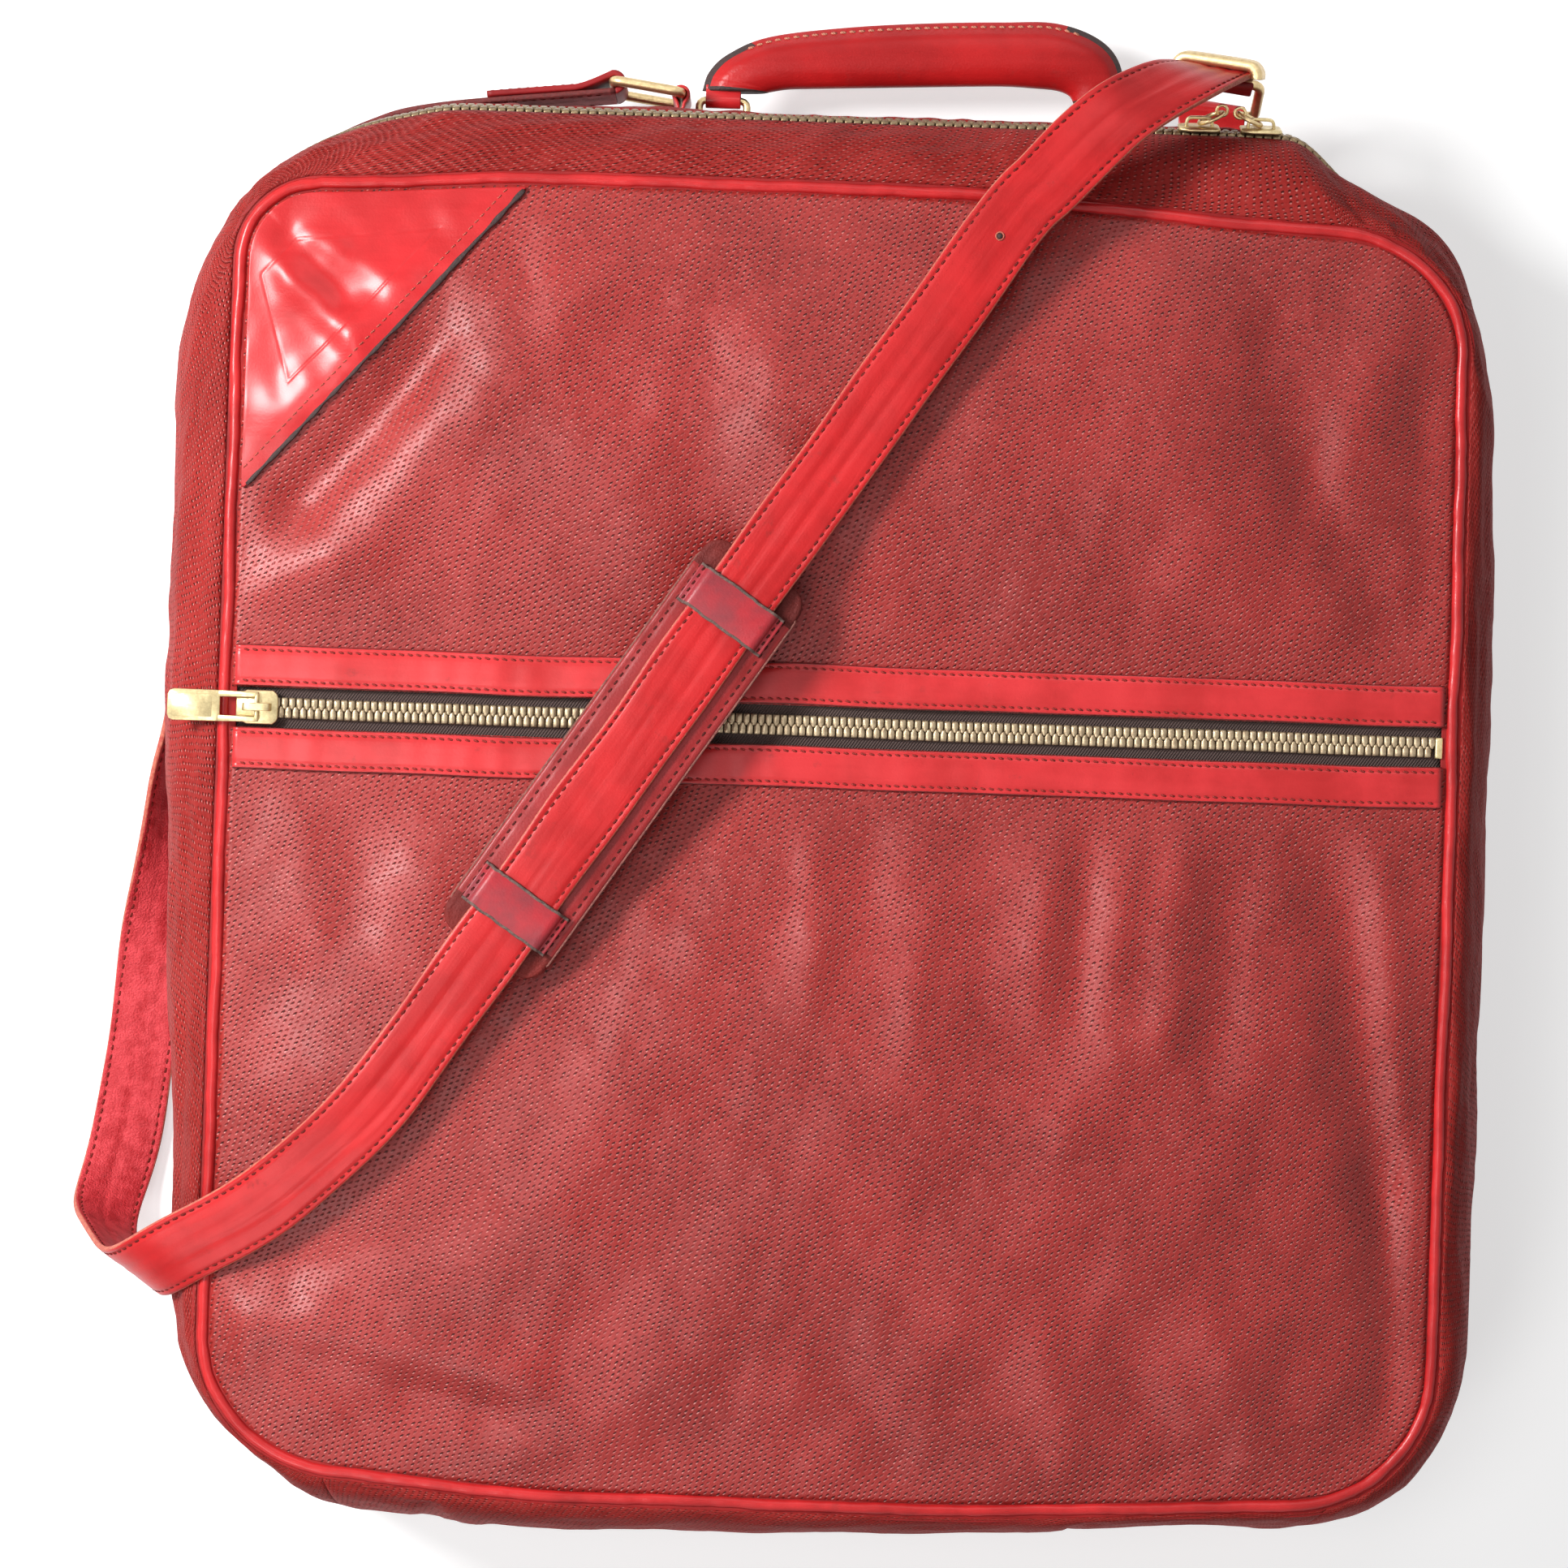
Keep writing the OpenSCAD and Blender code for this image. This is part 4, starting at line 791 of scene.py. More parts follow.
def gusset_points(us, phis, depth):
    edge = line_points(seam_line(GUSSET_GAP), us)
    ahead = unit(line_points(bulge_line, us + 0.001) - line_points(bulge_line, us - 0.001))
    outward = np.stack([-ahead[:, 1], ahead[:, 0]], -1)
    middle = line_points(bulge_line, us) - outward * slack_at(us)[:, None]
    turn = np.radians(phis)[:, None]
    share = np.sin(turn) * (1 - depth / bulge_rise(us))[None]
    xy = edge[None] + (middle - edge)[None] * share[..., None]
    z = half_d + (half_d - depth) * np.cos(turn) * np.ones(len(us))[None]
    return np.concatenate([xy, z[..., None]], -1)


GUSSET_T = 1.8


def flap_over_zip(us, phis):
    """Round the right corner the front strip swells out and hides the chain from the front."""
    along = smooth(us, 1.10, 1.28) * (1 - smooth(us, 1.42, 1.69))
    outward = unit(line_points(bulge_line, us) - line_points(seam_line(GUSSET_GAP), us))
    flat = np.column_stack([outward, np.zeros(len(us))])
    return 6.5 * (phis[:, None, None] / 52) ** 2 * along[None, :, None] * flat[None]


def gusset_piece(name, start, end, phi0, phi1, seed, folds=(), soft=1.0, step=2.6):
    us, run = even_steps(bulge_line, start, end, step)
    count = int((phi1 - phi0) / 180 * 150 / step) + 3
    phis = np.linspace(phi0, phi1, count)
    outer = gusset_points(us, phis, 0.0)
    inner = gusset_points(us, phis, GUSSET_T)
    across = phis / 180 * 150
    along, over = np.meshgrid(run, across)
    from_edge = np.minimum(over - across[0], across[-1] - over) + 0.0
    ends = np.minimum(along, run[-1] - along)
    hold = np.clip(from_edge / 7, 0, 1) * np.clip(ends / 8, 0, 1)
    shape = 0.7 * waves(along, over, 70, seed) + 0.4 * waves(along, over * 1.8, 30, seed + 1)
    shape += 0.13 * waves(along, over, 11, seed + 2)
    shape += 0.5 * pucker(along, from_edge, 15, 12, seed + 3)
    shape += folds_at(along, over, folds) if folds else 0
    push = soft * hold * np.clip(shape, -4.0, 1.8)
    way = grid_normals(outer)
    if np.dot(way[count // 2, len(us) // 2], (outer - inner)[count // 2, len(us) // 2]) < 0:
        way = -way
    outer = outer + way * push[..., None]
    inner = inner + way * push[..., None]
    if name == "top_gusset_front":
        flap = flap_over_zip(us % 8, phis)
        outer, inner = outer + flap, inner + flap
    lay = np.stack([along, over], -1)
    return sheet_piece(name + "_canvas", outer, inner, shaded_side_canvas, "shell", (name,), lay)


TOP_FROM, TOP_TO, BOTTOM_FROM, BOTTOM_TO = 7.35, 9.7, 3.84, 5.05
left_gusset = gusset_piece(
    "side_gusset_left", BOTTOM_TO, TOP_FROM, 0, 180, 20,
    [(60, 30, 330, 24, 7, -1.6), (40, 44, 240, 40, 8, 1.4), (250, 46, 420, 34, 8, 1.2), (330, 16, 470, 22, 6, -1.8),
     (300, 58, 430, 52, 8, -1.5)],
    0.6,
)
right_gusset = gusset_piece("side_gusset_right", TOP_TO - 8, BOTTOM_FROM, 0, 180, 30, [(80, 26, 300, 30, 8, -1.5)], 0.45)
bottom_gusset = gusset_piece(
    "bottom_gusset", BOTTOM_FROM, BOTTOM_TO, 0, 180, 40,
    [(90, 20, 96, 62, 4, -6.5), (103, 18, 100, 62, 5, 4.0), (330, 20, 336, 62, 4, -6.5), (319, 18, 318, 62, 5, 4.0)],
    0.36,
)
front_top = gusset_piece(
    "top_gusset_front", TOP_FROM, TOP_TO, 0, 52, 50,
    [(270, 10, 274, 40, 9, -1.6), (330, 8, 330, 40, 8, 1.3), (350, 8, 352, 40, 7, -1.3), (392, 8, 396, 40, 9, 1.3)],
)
back_top = gusset_piece("top_gusset_back", TOP_FROM, TOP_TO, 68, 180, 60, (), 0.7)
print("gusset pieces:", [len(g.data.vertices) for g in (left_gusset, right_gusset, bottom_gusset, front_top, back_top)])

# %% [markdown]
# ## Back panel
# The bag lies on its back, so this panel is nearly flat. Its edge turns into the back piping.

# %% Back panel


def back_sheet():
    line = seam_line(-SEAM_GAP)
    ys = np.concatenate([lower_end + (1 - np.cos(np.linspace(0, math.pi / 2, 12))) * 52,
                         np.linspace(lower_end + 56, upper_end - 52, 60),
                         upper_end - (1 - np.sin(np.linspace(0, math.pi / 2, 12))) * 48])
    bend = np.linspace(0, 1, 90)
    left, right = side_x(line, ys, True)[:, None], side_x(line, ys, False)[:, None]
    x = left + (right - left) * bend[None]
    y = np.repeat(ys[:, None], len(bend), 1)
    dent = 0.25 * (1 + np.clip(waves(x, y, 80, 9), -1, 1))
    low = np.stack([x, y, dent], -1)
    high = low + [0, 0, 1.2]
    return sheet_piece("back_canvas", low, high, canvas, "shell", ("back_panel",), low[..., :2])


back_canvas = back_sheet()
print("back panel:", len(back_canvas.data.vertices), "points")

# %% [markdown]
# ## Piping
# A cord wrapped in leather sits in each seam. It wanders a little, because the seam pulls on it.

# %% Piping along both seams


def piping_piece(node, seed):
    low, high = box_mm(node)
    us, run = even_steps(seam_line(0), 0, 8, 2.4)
    us, run = us[:-1], run[:-1]
    xy = line_points(seam_line(0), us)
    z = (low[2] + high[2]) / 2
    path = np.column_stack([xy, np.full(len(xy), z)])
    out = unit(xy - np.roll(xy, 1, 0))
    sway = 0.22 * waves(run, run * 0, 60, seed, 6) + 0.08 * waves(run, run * 0, 14, seed + 1, 6)
    path[:, 0] += out[:, 1] * -sway
    path[:, 1] += out[:, 0] * sway
    path[:, 2] += 0.15 * waves(run, run * 0, 90, seed + 2, 6)
    swell = 1 + 0.035 * waves(run, run * 0, 8, seed + 3, 6)
    section = circle(piping_r - 0.12, 14)[None] * swell[:, None, None]
    parts = Parts().loft(path, (0, 0, 1), section, loop=True)
    cord = parts.piece(node + "_cord", piping_leather, "shell", "trim_leather", (node,))
    flange = np.column_stack([xy, np.full(len(xy), front_z - 0.75 if z > half_d else 0.95)])
    Parts().loft(flange, (0, 0, 1), rounded_bar(9, 0.7, 0.3), loop=True).piece(
        node + "_flange", flange_leather, "shell", "trim_leather")
    return cord


front_cord = piping_piece("front_piping", 70)
back_cord = piping_piece("back_piping", 80)
print("piping sections:", len(front_cord.data.vertices) // 14)

# %% [markdown]
# ## Stitches
# A stitch is a tiny loaf of thread whose ends dip into the leather. One helper sets a row of them
# along any path, and one mesh holds the row.

# %% Rows of stitches


def stitch_parts(parts, path, up, pitch=3.2, length=2.4, width=0.62, height=0.42, slant=7.0):
    path = np.asarray(path, float)
    up = np.broadcast_to(np.asarray(up, float), path.shape)
    spots, ups, run = resample(path, pitch, np.array(up))
    ahead, side, over = frames(spots, ups)
    ts = np.array([-0.5, -0.36, -0.12, 0.12, 0.36, 0.5])
    body = np.array([0.35, 0.85, 1.0, 1.0, 0.85, 0.35])
    lift = np.array([-0.7, 0.1, 0.35, 0.35, 0.1, -0.7])
    a = np.arange(6) * math.pi / 3
    lean = math.tan(math.radians(slant))
    base = []
    for t, b, l in zip(ts, body, lift):
        for c in a:
            base.append((t * length, b * width / 2 * math.cos(c) + t * length * lean, -b * height / 2 * math.sin(c) + l * height))
    base = np.array(base)
    faces = loft_faces(6, 6)
    for p, f, s, o in zip(spots, ahead, side, over):
        parts.add(p + base[:, :1] * f + base[:, 1:2] * s + base[:, 2:] * o, faces)
    return parts


print("stitch helper ready")

# %% [markdown]
# ## Corner patch
# A glossy triangle of leather lies on the top left corner. It keeps a plain pressed border, which
# is carved into its fine grid, and its long edge is painted dark.

# %% Corner patch with its pressed border
patch_low, patch_high = box_mm("corner_patch")
PATCH_RUN = 105
PATCH_T = 1.4
BORDER = [(-226.3, 215.7), (-213.1, 230.2), (-158.8, 233.4), (-214.5, 172.5), (-226.3, 215.7)]


def patch_top(x, y):
    return front_z + front_height(x, y) + 0.4 + PATCH_T


def border_groove(x, y):
    near = np.full(x.shape, 99.0)
    for (x0, y0), (x1, y1) in zip(BORDER, BORDER[1:]):
        length = math.hypot(x1 - x0, y1 - y0)
        t = np.clip(((x - x0) * (x1 - x0) + (y - y0) * (y1 - y0)) / length ** 2, 0, 1)
        near = np.minimum(near, np.hypot(x - x0 - t * (x1 - x0), y - y0 - t * (y1 - y0)))
    return np.exp(-(near / 0.42) ** 2)


def corner_patch():
    line = seam_line(-SEAM_GAP - 1)
    y_low, y_high = patch_low[1], line[3]
    t = np.linspace(0, 1, 150)
    ys = y_low + (y_high - y_low) * np.sin(t * math.pi / 2) * 0.35 + (y_high - y_low) * t * 0.65
    left = side_x(line, ys, True)
    right = np.maximum(line[0] + 1 + (PATCH_RUN - 1) * (ys - y_low) / (y_high - y_low), left + 1)
    x = left[:, None] + (right - left)[:, None] * np.linspace(0, 1, 130)[None]
    y = np.repeat(ys[:, None], 130, 1)
    swell = 0.20 * waves(x, y, 34, 12) + 0.05 * waves(x, y, 12, 13)
    outer = np.stack([x, y, patch_top(x, y) + 0.2 * np.clip(swell, -1, 1) - 0.22 * border_groove(x, y)], -1)
    inner = np.stack([x, y, patch_top(x, y) - PATCH_T], -1)
    sheet_piece("corner_patch_leather", outer, inner, patch_leather, "shell", ("corner_patch",))
    return np.stack([right, ys], -1)


patch_side = corner_patch()


def patch_trim():
    path = np.column_stack([patch_side, patch_top(patch_side[:, 0], patch_side[:, 1]) - PATCH_T / 2])
    path, run = resample(path, 1.6)
    path[:, 2] += 0.02
    uneven = 1 + 0.22 * waves(run, run * 0, 13, 21, 8)
    section = rounded_bar(1.7, PATCH_T + 0.2, 0.5)[None] * np.stack([uneven, np.ones_like(uneven)], -1)[:, None]
    edge = Parts().loft(path[1:-1], (0, 0, 1), section[1:-1])
    edge.piece("corner_patch_edge", dark_edge, "shell", "trim_leather")
    ahead = unit(path[-1] - path[0])
    inward = np.array([-ahead[1], ahead[0], 0]) * 5.2
    row = path[4:-4] + inward
    row[:, 2] = patch_top(row[:, 0], row[:, 1]) + 0.05
    stitch_parts(Parts(), row, (0, 0, 1)).piece("corner_patch_stitches", red_thread, "shell", "trim_leather")


patch_trim()
print("patch edge:", round(float(np.linalg.norm(patch_side[-1] - patch_side[0]))), "mm long")

# %% [markdown]
# ## Front zip bands
# Two leather strips cover the cut edges of the canvas. Each has a rounded edge, two rows of
# stitches and the slight wave that stitching gives.

# %% Leather bands beside the front zip


def band_piece(node):
    low, high = box_mm(node)
    xs = np.arange(low[0] + 0.2, high[0] - 0.1, 2.0)
    mid = (low[1] + high[1]) / 2
    sway = 0.18 * waves(xs, xs * 0 + mid, 90, 15, 6)
    lift = 0.22 * waves(xs, xs * 0 + mid, 42, 16, 8) + 0.08 * waves(xs, xs * 0 + mid, 11, 17, 6)
    path = np.column_stack([xs, mid + sway, (low[2] + high[2]) / 2 + 0.25 + lift * 0.6])
    half = band_w / 2
    seam = half - 2.1
    top = sewn_strip(half, 1.4, seam, 0.32, 0.3)
    section = np.concatenate([top, [(half, 0.15), (half, -0.3), (half - 0.2, -0.6), (-half + 0.2, -0.6),
                                    (-half, -0.3), (-half, 0.15)]])
    kinds = [0] * (len(top) - 1) + [1] * 2 + [0] * 3 + [1] * 2
    _, side, over = frames(path, (0, 0, 1))
    points = loft_points(path, -side, over, section)
    marks = kinds * (len(path) - 1) + [1, 1]
    make_piece(node + "_leather", points, loft_faces(len(path), len(section)), [trim, band_edge], "shell",
               (node,), marks=marks)
    row = Parts()
    for s in (-1, 1):
        line = path[2:-2] + [0, s * seam, 0.52]
        stitch_parts(row, line, (0, 0, 1), 3.3, 2.4, 0.85, 0.5, 14)
    row.piece(node + "_stitches", band_thread, "shell", "trim_leather")


band_piece("zip_band_upper")
band_piece("zip_band_lower")
print("bands:", round(band_w, 1), "mm wide")

# %% [markdown]
# ## Zip chains
# Each tooth is a rounded bar with a waist and a nose, and the noses of both rows pass each other
# in the middle. The same tooth serves both zips, set along a path.

# %% Teeth along a path


def tooth_shape(width, reach, height):
    """Points of one tooth: x along the chain, y across it from the nose, z up."""
    stations = [
        (-0.60, 0.34, 0.55), (-0.42, 0.54, 0.92), (0.05, 0.58, 1.0), (0.45, 0.60, 1.0),
        (0.62, 0.96, 0.98), (1.20, 1.0, 1.0), (2.70, 1.0, 1.0), (reach - 0.3, 1.0, 0.96), (reach, 0.92, 0.5),
    ]
    half = width / 2
    points = []
    for y, w, h in stations:
        for sx, sz in ((-1, 0.05), (-1, 0.80), (-0.76, 0.98), (0, 1.02), (0.76, 0.98), (1, 0.80), (1, 0.05)):
            points.append((sx * half * w, y, sz * height * h))
    return np.array(points), loft_faces(len(stations), 7)


def chain_pieces(name, spots, ahead, out, pitch, nodes, size, finish):
    """Two rows of teeth on both sides of a path, with half a pitch between them."""
    shape, faces = tooth_shape(pitch * 0.88, size, 2.3)
    across = np.cross(out, ahead)
    for row, (side, node) in enumerate(zip((1, -1), nodes)):
        parts = Parts()
        for k in range(row, len(spots), 2):
            p = spots[k] + shape[:, :1] * ahead[k] + side * shape[:, 1:2] * across[k] + shape[:, 2:] * out[k]
            parts.add(p, [f[::-1] for f in faces] if side < 0 else faces)
        parts.piece(f"{name}_{row}", finish, "shell", "zip_metal", (node,))


teeth_low, teeth_high = box_mm("front_zip_teeth_upper")
FRONT_PITCH = 2.85
chain_x = np.arange(teeth_low[0] + 1.2, teeth_high[0] - 0.8, FRONT_PITCH / 2)
chain_path = np.column_stack([chain_x, np.full(len(chain_x), zip_y), np.full(len(chain_x), teeth_low[2])])
chain_path[:, 1] += 0.12 * waves(chain_x, chain_x * 0, 70, 18, 5)
chain_pieces(
    "front_chain", chain_path, np.tile([1.0, 0, 0], (len(chain_x), 1)), np.tile([0, 0, 1.0], (len(chain_x), 1)),
    FRONT_PITCH, ("front_zip_teeth_upper", "front_zip_teeth_lower"), 4.0, tooth_brass,
)
print("front teeth:", len(chain_x))

# %% Front zip tapes and the end stop


def front_tape(node):
    low, high = box_mm(node)
    xs = np.arange(low[0], high[0], 3.0)
    ys = np.linspace(low[1], high[1], 14)
    x, y = np.meshgrid(xs, ys)
    near = np.abs(y - zip_y)
    cord = 0.55 * np.exp(-((near - 1.6) / 0.9) ** 2) * 0
    top = high[2] - 0.02 + 0.0 * cord - 0.12 * (1 + np.clip(waves(x, y, 22, 19), -1, 1)) * np.clip(near / 6, 0, 1)
    outer = np.stack([x, y, top], -1)
    inner = outer - [0, 0, 0.45]
    sheet_piece(node + "_twill", outer, inner, tape, "shell", (node,))


front_tape("front_zip_tape_upper")
front_tape("front_zip_tape_lower")
stop_low, stop_high = box_mm("front_zip_stop")
stop_mid = (stop_low + stop_high) / 2
stop_path = np.array([[stop_mid[0], stop_low[1], stop_mid[2]], [stop_mid[0], stop_high[1], stop_mid[2]]])
stop_path = np.linspace(stop_path[0], stop_path[1], 7)
stop_section = rounded_bar(stop_high[0] - stop_low[0], stop_high[2] - stop_low[2], 0.7, 4)
Parts().loft(stop_path, (0, 0, 1), stop_section).piece("front_end_stop", zip_brass, "shell", "zip_metal", ("front_zip_stop",))
print("end stop at x =", round(float(stop_mid[0])))

# %% [markdown]
# ## Main zip round the top
# Its tapes and teeth follow the gusset at 60 degrees round the bulge, so the path comes from the
# same points as the gusset, a little under its face.

# %% Main zip tapes, chain and stops
MAIN_PHI = 60.0
TAPE_DEPTH = GUSSET_T + 0.4
MAIN_PITCH = 3.3


def main_tape(node, phi0, phi1):
    us, run = even_steps(bulge_line, TOP_FROM + 0.02, TOP_TO - 0.02, 4)
    phis = np.linspace(phi0, phi1, 8)
    outer = gusset_points(us, phis, TAPE_DEPTH + 0.05)
    inner = gusset_points(us, phis, TAPE_DEPTH + 0.6)
    sheet_piece(node + "_twill", outer, inner, tape, "shell", (node,))


arc_mm = np.linalg.norm(gusset_points(np.array([8.5]), np.array([60.5]), 0) - gusset_points(np.array([8.5]), np.array([59.5]), 0))
main_tape("main_zip_tape_front", MAIN_PHI - 15 / arc_mm, MAIN_PHI - 0.6 / arc_mm)
main_tape("main_zip_tape_back", MAIN_PHI + 0.6 / arc_mm, MAIN_PHI + 15 / arc_mm)

us, run = even_steps(bulge_line, TOP_FROM + 0.06, TOP_TO - 0.06, MAIN_PITCH / 2 * 1.02)
main_path = gusset_points(us, np.array([MAIN_PHI]), TAPE_DEPTH - 0.2)[0]
behind = gusset_points(us, np.array([MAIN_PHI + 2]), TAPE_DEPTH)[0] - gusset_points(us, np.array([MAIN_PHI - 2]), TAPE_DEPTH)[0]
main_ahead = unit(np.gradient(main_path, axis=0))
main_out = unit(np.cross(main_ahead, behind))
main_rows = ("main_zip_teeth_back", "main_zip_teeth_front")
chain_pieces("main_chain", main_path, main_ahead, main_out, MAIN_PITCH, main_rows, 4.0, shaded_main_tooth_brass)


def main_stops():
    parts = Parts()
    for k in (0, -1):
        across = np.cross(main_out[k], main_ahead[k])
        shift = main_ahead[k] * (-2.6 if k == 0 else 2.6) + main_out[k] * 1.1
        path = np.linspace(main_path[k] - across * 4 + shift, main_path[k] + across * 4 + shift, 6)
        parts.loft(path, main_out[k], rounded_bar(2.4, 2.2, 0.6))
    parts.piece("main_chain_stops", zip_brass, "shell", "zip_metal", ("main_zip_stops",))


main_stops()
print("main teeth:", len(us))

# %% [markdown]
# ## Sliders and pulls
# A slider is two plates round the chain with a bridge on top. The front pull is a long brass tag
# with a fork that lies over the bridge, and the main zip's pulls are plain rings.

# %% Slider and pull shapes
SLIDER_L = 16.0
TAPE_T = 0.7
SLIDER_TOP = 2.3 + 0.3 + 1.5
BAR_R = 0.85
HINGE_H = SLIDER_TOP + BAR_R + 0.4
PLACE_EYE = np.eye(3)


def placer(origin, ex, ez):
    ex = unit(ex)
    ez = unit(np.asarray(ez, float) - ex * np.dot(ez, ex))
    basis = np.stack([ex, np.cross(ez, ex), ez])
    return lambda p: np.asarray(origin) + np.asarray(p, float) @ basis


def slider_outline(width):
    nose, half = SLIDER_L / 4, SLIDER_L / 2
    right = [(-half, -width / 3), (-half + 1, -width / 2.6), (-nose, -width / 2), (half - nose / 2, -width / 2),
             (half - 0.5, -width / 2.5), (half, -width / 3.2)]
    return np.array(right + [(x, -y) for x, y in right[::-1]])


def slider_piece(name, origin, ex, ez, bail_w, body, node):
    place = placer(origin, ex, ez)
    parts = Parts()
    parts.slab(slider_outline(13.0), place, SLIDER_TOP - 1.5, SLIDER_TOP, 0.45)
    parts.slab(slider_outline(10.0), place, -TAPE_T - 1.5, -TAPE_T - 0.3, 0.35)
    wedge = np.array([(-3, -0.4), (3, -0.4), (3, 0.4), (-3, 0.4)])
    parts.slab(wedge, place, -TAPE_T - 1.0, SLIDER_TOP - 0.7, 0.05)
    top = HINGE_H + BAR_R + 1.1
    arch = [(-5.0, SLIDER_TOP - 0.6), (-5.0, SLIDER_TOP + 0.8), (-4.6, top - 0.8), (-3.4, top), (0, top + 0.15),
            (3.4, top), (4.6, top - 0.8), (5.0, SLIDER_TOP + 0.8), (5.0, SLIDER_TOP - 0.6)]
    arch = smooth_path(arch, 4)
    path = place(np.column_stack([arch[:, 0], arch[:, 0] * 0, arch[:, 1]]))
    side = place([0, 1, 0]) - place([0, 0, 0])
    up = np.cross(side, unit(np.gradient(path, axis=0)))
    parts.loft(path, up, rounded_bar(bail_w, 1.2, 0.35))
    return parts.piece(name, zip_brass, body, "zip_metal", (node,))


front_slider_x = teeth_low[0] + SLIDER_L / 2
tape_top = box_mm("front_zip_tape_upper")[1][2]
front_slider = slider_piece(
    "front_slider_brass", (front_slider_x, zip_y, tape_top), (1, 0, 0), (0, 0, 1), 3.0, "front_slider", "front_zip_slider"
)

pull_low, pull_high = box_mm("front_zip_pull")


def front_pull():
    origin = (front_slider_x, zip_y, tape_top + HINGE_H)
    place = placer(origin, (1, 0, 0), (0, 0, 1))
    reach = front_slider_x - pull_low[0]
    half = (pull_high[1] - pull_low[1]) / 2
    parts = Parts()
    tag = [(-reach, -half + 2.2), (-reach + 0.7, -half + 0.7), (-reach + 2.2, -half), (-15.5, -half), (-14, -half + 0.2),
           (-14, half - 0.2), (-15.5, half), (-reach + 2.2, half), (-reach + 0.7, half - 0.7), (-reach, half - 2.2)]
    parts.slab(tag, place, -0.7, 0.7, 0.3)
    rim = [(-reach + 1.6, -half + 1.6), (-17, -half + 1.6), (-17, half - 1.6), (-reach + 1.6, half - 1.6)]
    parts.slab(rim, place, 0.5, 0.86, 0.15)
    for s in (-1, 1):
        mid = s * (half - 1.3)
        arm = [(-14.6, mid - 1.2), (-1.2, mid - 1.05), (0.6, mid - 0.8), (0.9, mid), (0.6, mid + 0.8), (-1.2, mid + 1.05), (-14.6, mid + 1.2)]
        parts.slab(arm, place, -0.7, 0.75, 0.3)
    bar = place(np.column_stack([np.zeros(5), np.linspace(-half + 0.4, half - 0.4, 5), np.zeros(5)]))
    parts.loft(bar, (0, 0, 1), circle(BAR_R, 12))
    return parts.piece("front_pull_brass", zip_brass, "front_pull", "zip_metal", ("front_zip_pull",))


front_pull()
print("front slider at x =", round(float(front_slider_x), 1))

# %% Sliders and rings of the main zip
chain_line = gusset_points(np.array([8.5]), np.array([MAIN_PHI]), TAPE_DEPTH)[0, 0]
mid_k = int(np.argmin(np.abs(us - 8.5)))
chain_normal = main_out[mid_k]
RING_R = 5.0
LEAN = 25.0


def ring_path(r, count=40):
    a = np.arange(count) * 2 * math.pi / count
    return np.stack([r * np.cos(a), r * np.sin(a), a * 0], -1)


def main_slider(letter, lean):
    low, high = box_mm("main_zip_slider_" + letter)
    x = (low[0] + high[0]) / 2
    origin = np.array([x, chain_line[1], chain_line[2]])
    name = "main_slider_" + letter
    slider_piece(name + "_brass", origin, (1, 0, 0), chain_normal, 2.0, name, "main_zip_slider_" + letter)
    place = placer(origin + chain_normal * HINGE_H, (1, 0, 0), chain_normal)
    turn = math.radians(lean)
    ring = ring_path(RING_R) + [RING_R, 0, 0]
    ring = np.stack([ring[:, 0] * math.cos(turn), ring[:, 1], ring[:, 0] * math.sin(turn)], -1)
    up = place([-math.sin(turn), 0, math.cos(turn)]) - place([0, 0, 0])
    parts = Parts().loft(place(ring), up, circle(BAR_R, 12), loop=True)
    back = math.radians(100 if lean < 90 else 80)
    aside = 1.8 if letter == "a" else -1.8
    reach = RING_R + math.sqrt(RING_R ** 2 - aside ** 2)
    far = np.array([reach * math.cos(turn), aside, reach * math.sin(turn)])
    link = ring_path(2.1, 24)[:, [0, 2, 1]] + far + 0.6 * np.array([math.cos(back), 0, math.sin(back)])
    parts.loft(place(link), chain_line * 0 + np.cross(chain_normal, (1, 0, 0)), circle(0.6, 10), loop=True)
    parts.piece("main_pull_" + letter + "_ring", ring_brass, "main_pull_" + letter, "zip_metal", ("main_zip_pull_" + letter,))
    return x


slider_xs = [main_slider("a", LEAN), main_slider("b", 180 - LEAN)]
print("main sliders at x =", [round(float(x), 1) for x in slider_xs])

# %% [markdown]
# ## Handle
# Two wire rings hang in leather loops on the back strip. The grip is leather rolled round a rope
# and sewn along its upper edge, so its section is a drop with a thin fin.

# %% Handle rings and leather loops
rings_low, rings_high = box_mm("handle_rings")
WIRE_R = 1.5
RING_W, RING_L = 19.0, 8.0
handle_xs = [rings_low[0] + WIRE_R + RING_W / 2, rings_high[0] - WIRE_R - RING_W / 2]
hinge_y = rings_low[1] + WIRE_R
outer_bar_y = rings_high[1] - WIRE_R
handle_z = (rings_low[2] + rings_high[2]) / 2
LOOP_T = 1.3
CHAPE_W = RING_W - 2 * WIRE_R - 2


def wire_loop(parts, origin, long_dir, way, w, l, r, corner):
    """A closed ring of wire: w long along long_dir, l between its bars."""
    along, across = unit(long_dir), unit(way)
    out = []
    for cx, cy, a0 in ((w / 2 - corner, l - corner, 0), (-w / 2 + corner, l - corner, 90),
                       (-w / 2 + corner, corner, 180), (w / 2 - corner, corner, 270)):
        for a in np.radians(np.linspace(a0, a0 + 90, 7)):
            out.append((cx + corner * math.cos(a), cy + corner * math.sin(a)))
    closed = np.array(out + out[:1])
    flat, _ = resample(np.column_stack([closed, np.zeros(len(closed))]), 1.2)
    flat = flat[:-1]
    path = np.asarray(origin) + flat[:, :1] * along + flat[:, 1:2] * across
    parts.loft(path, np.cross(along, across), circle(r, 12), loop=True)


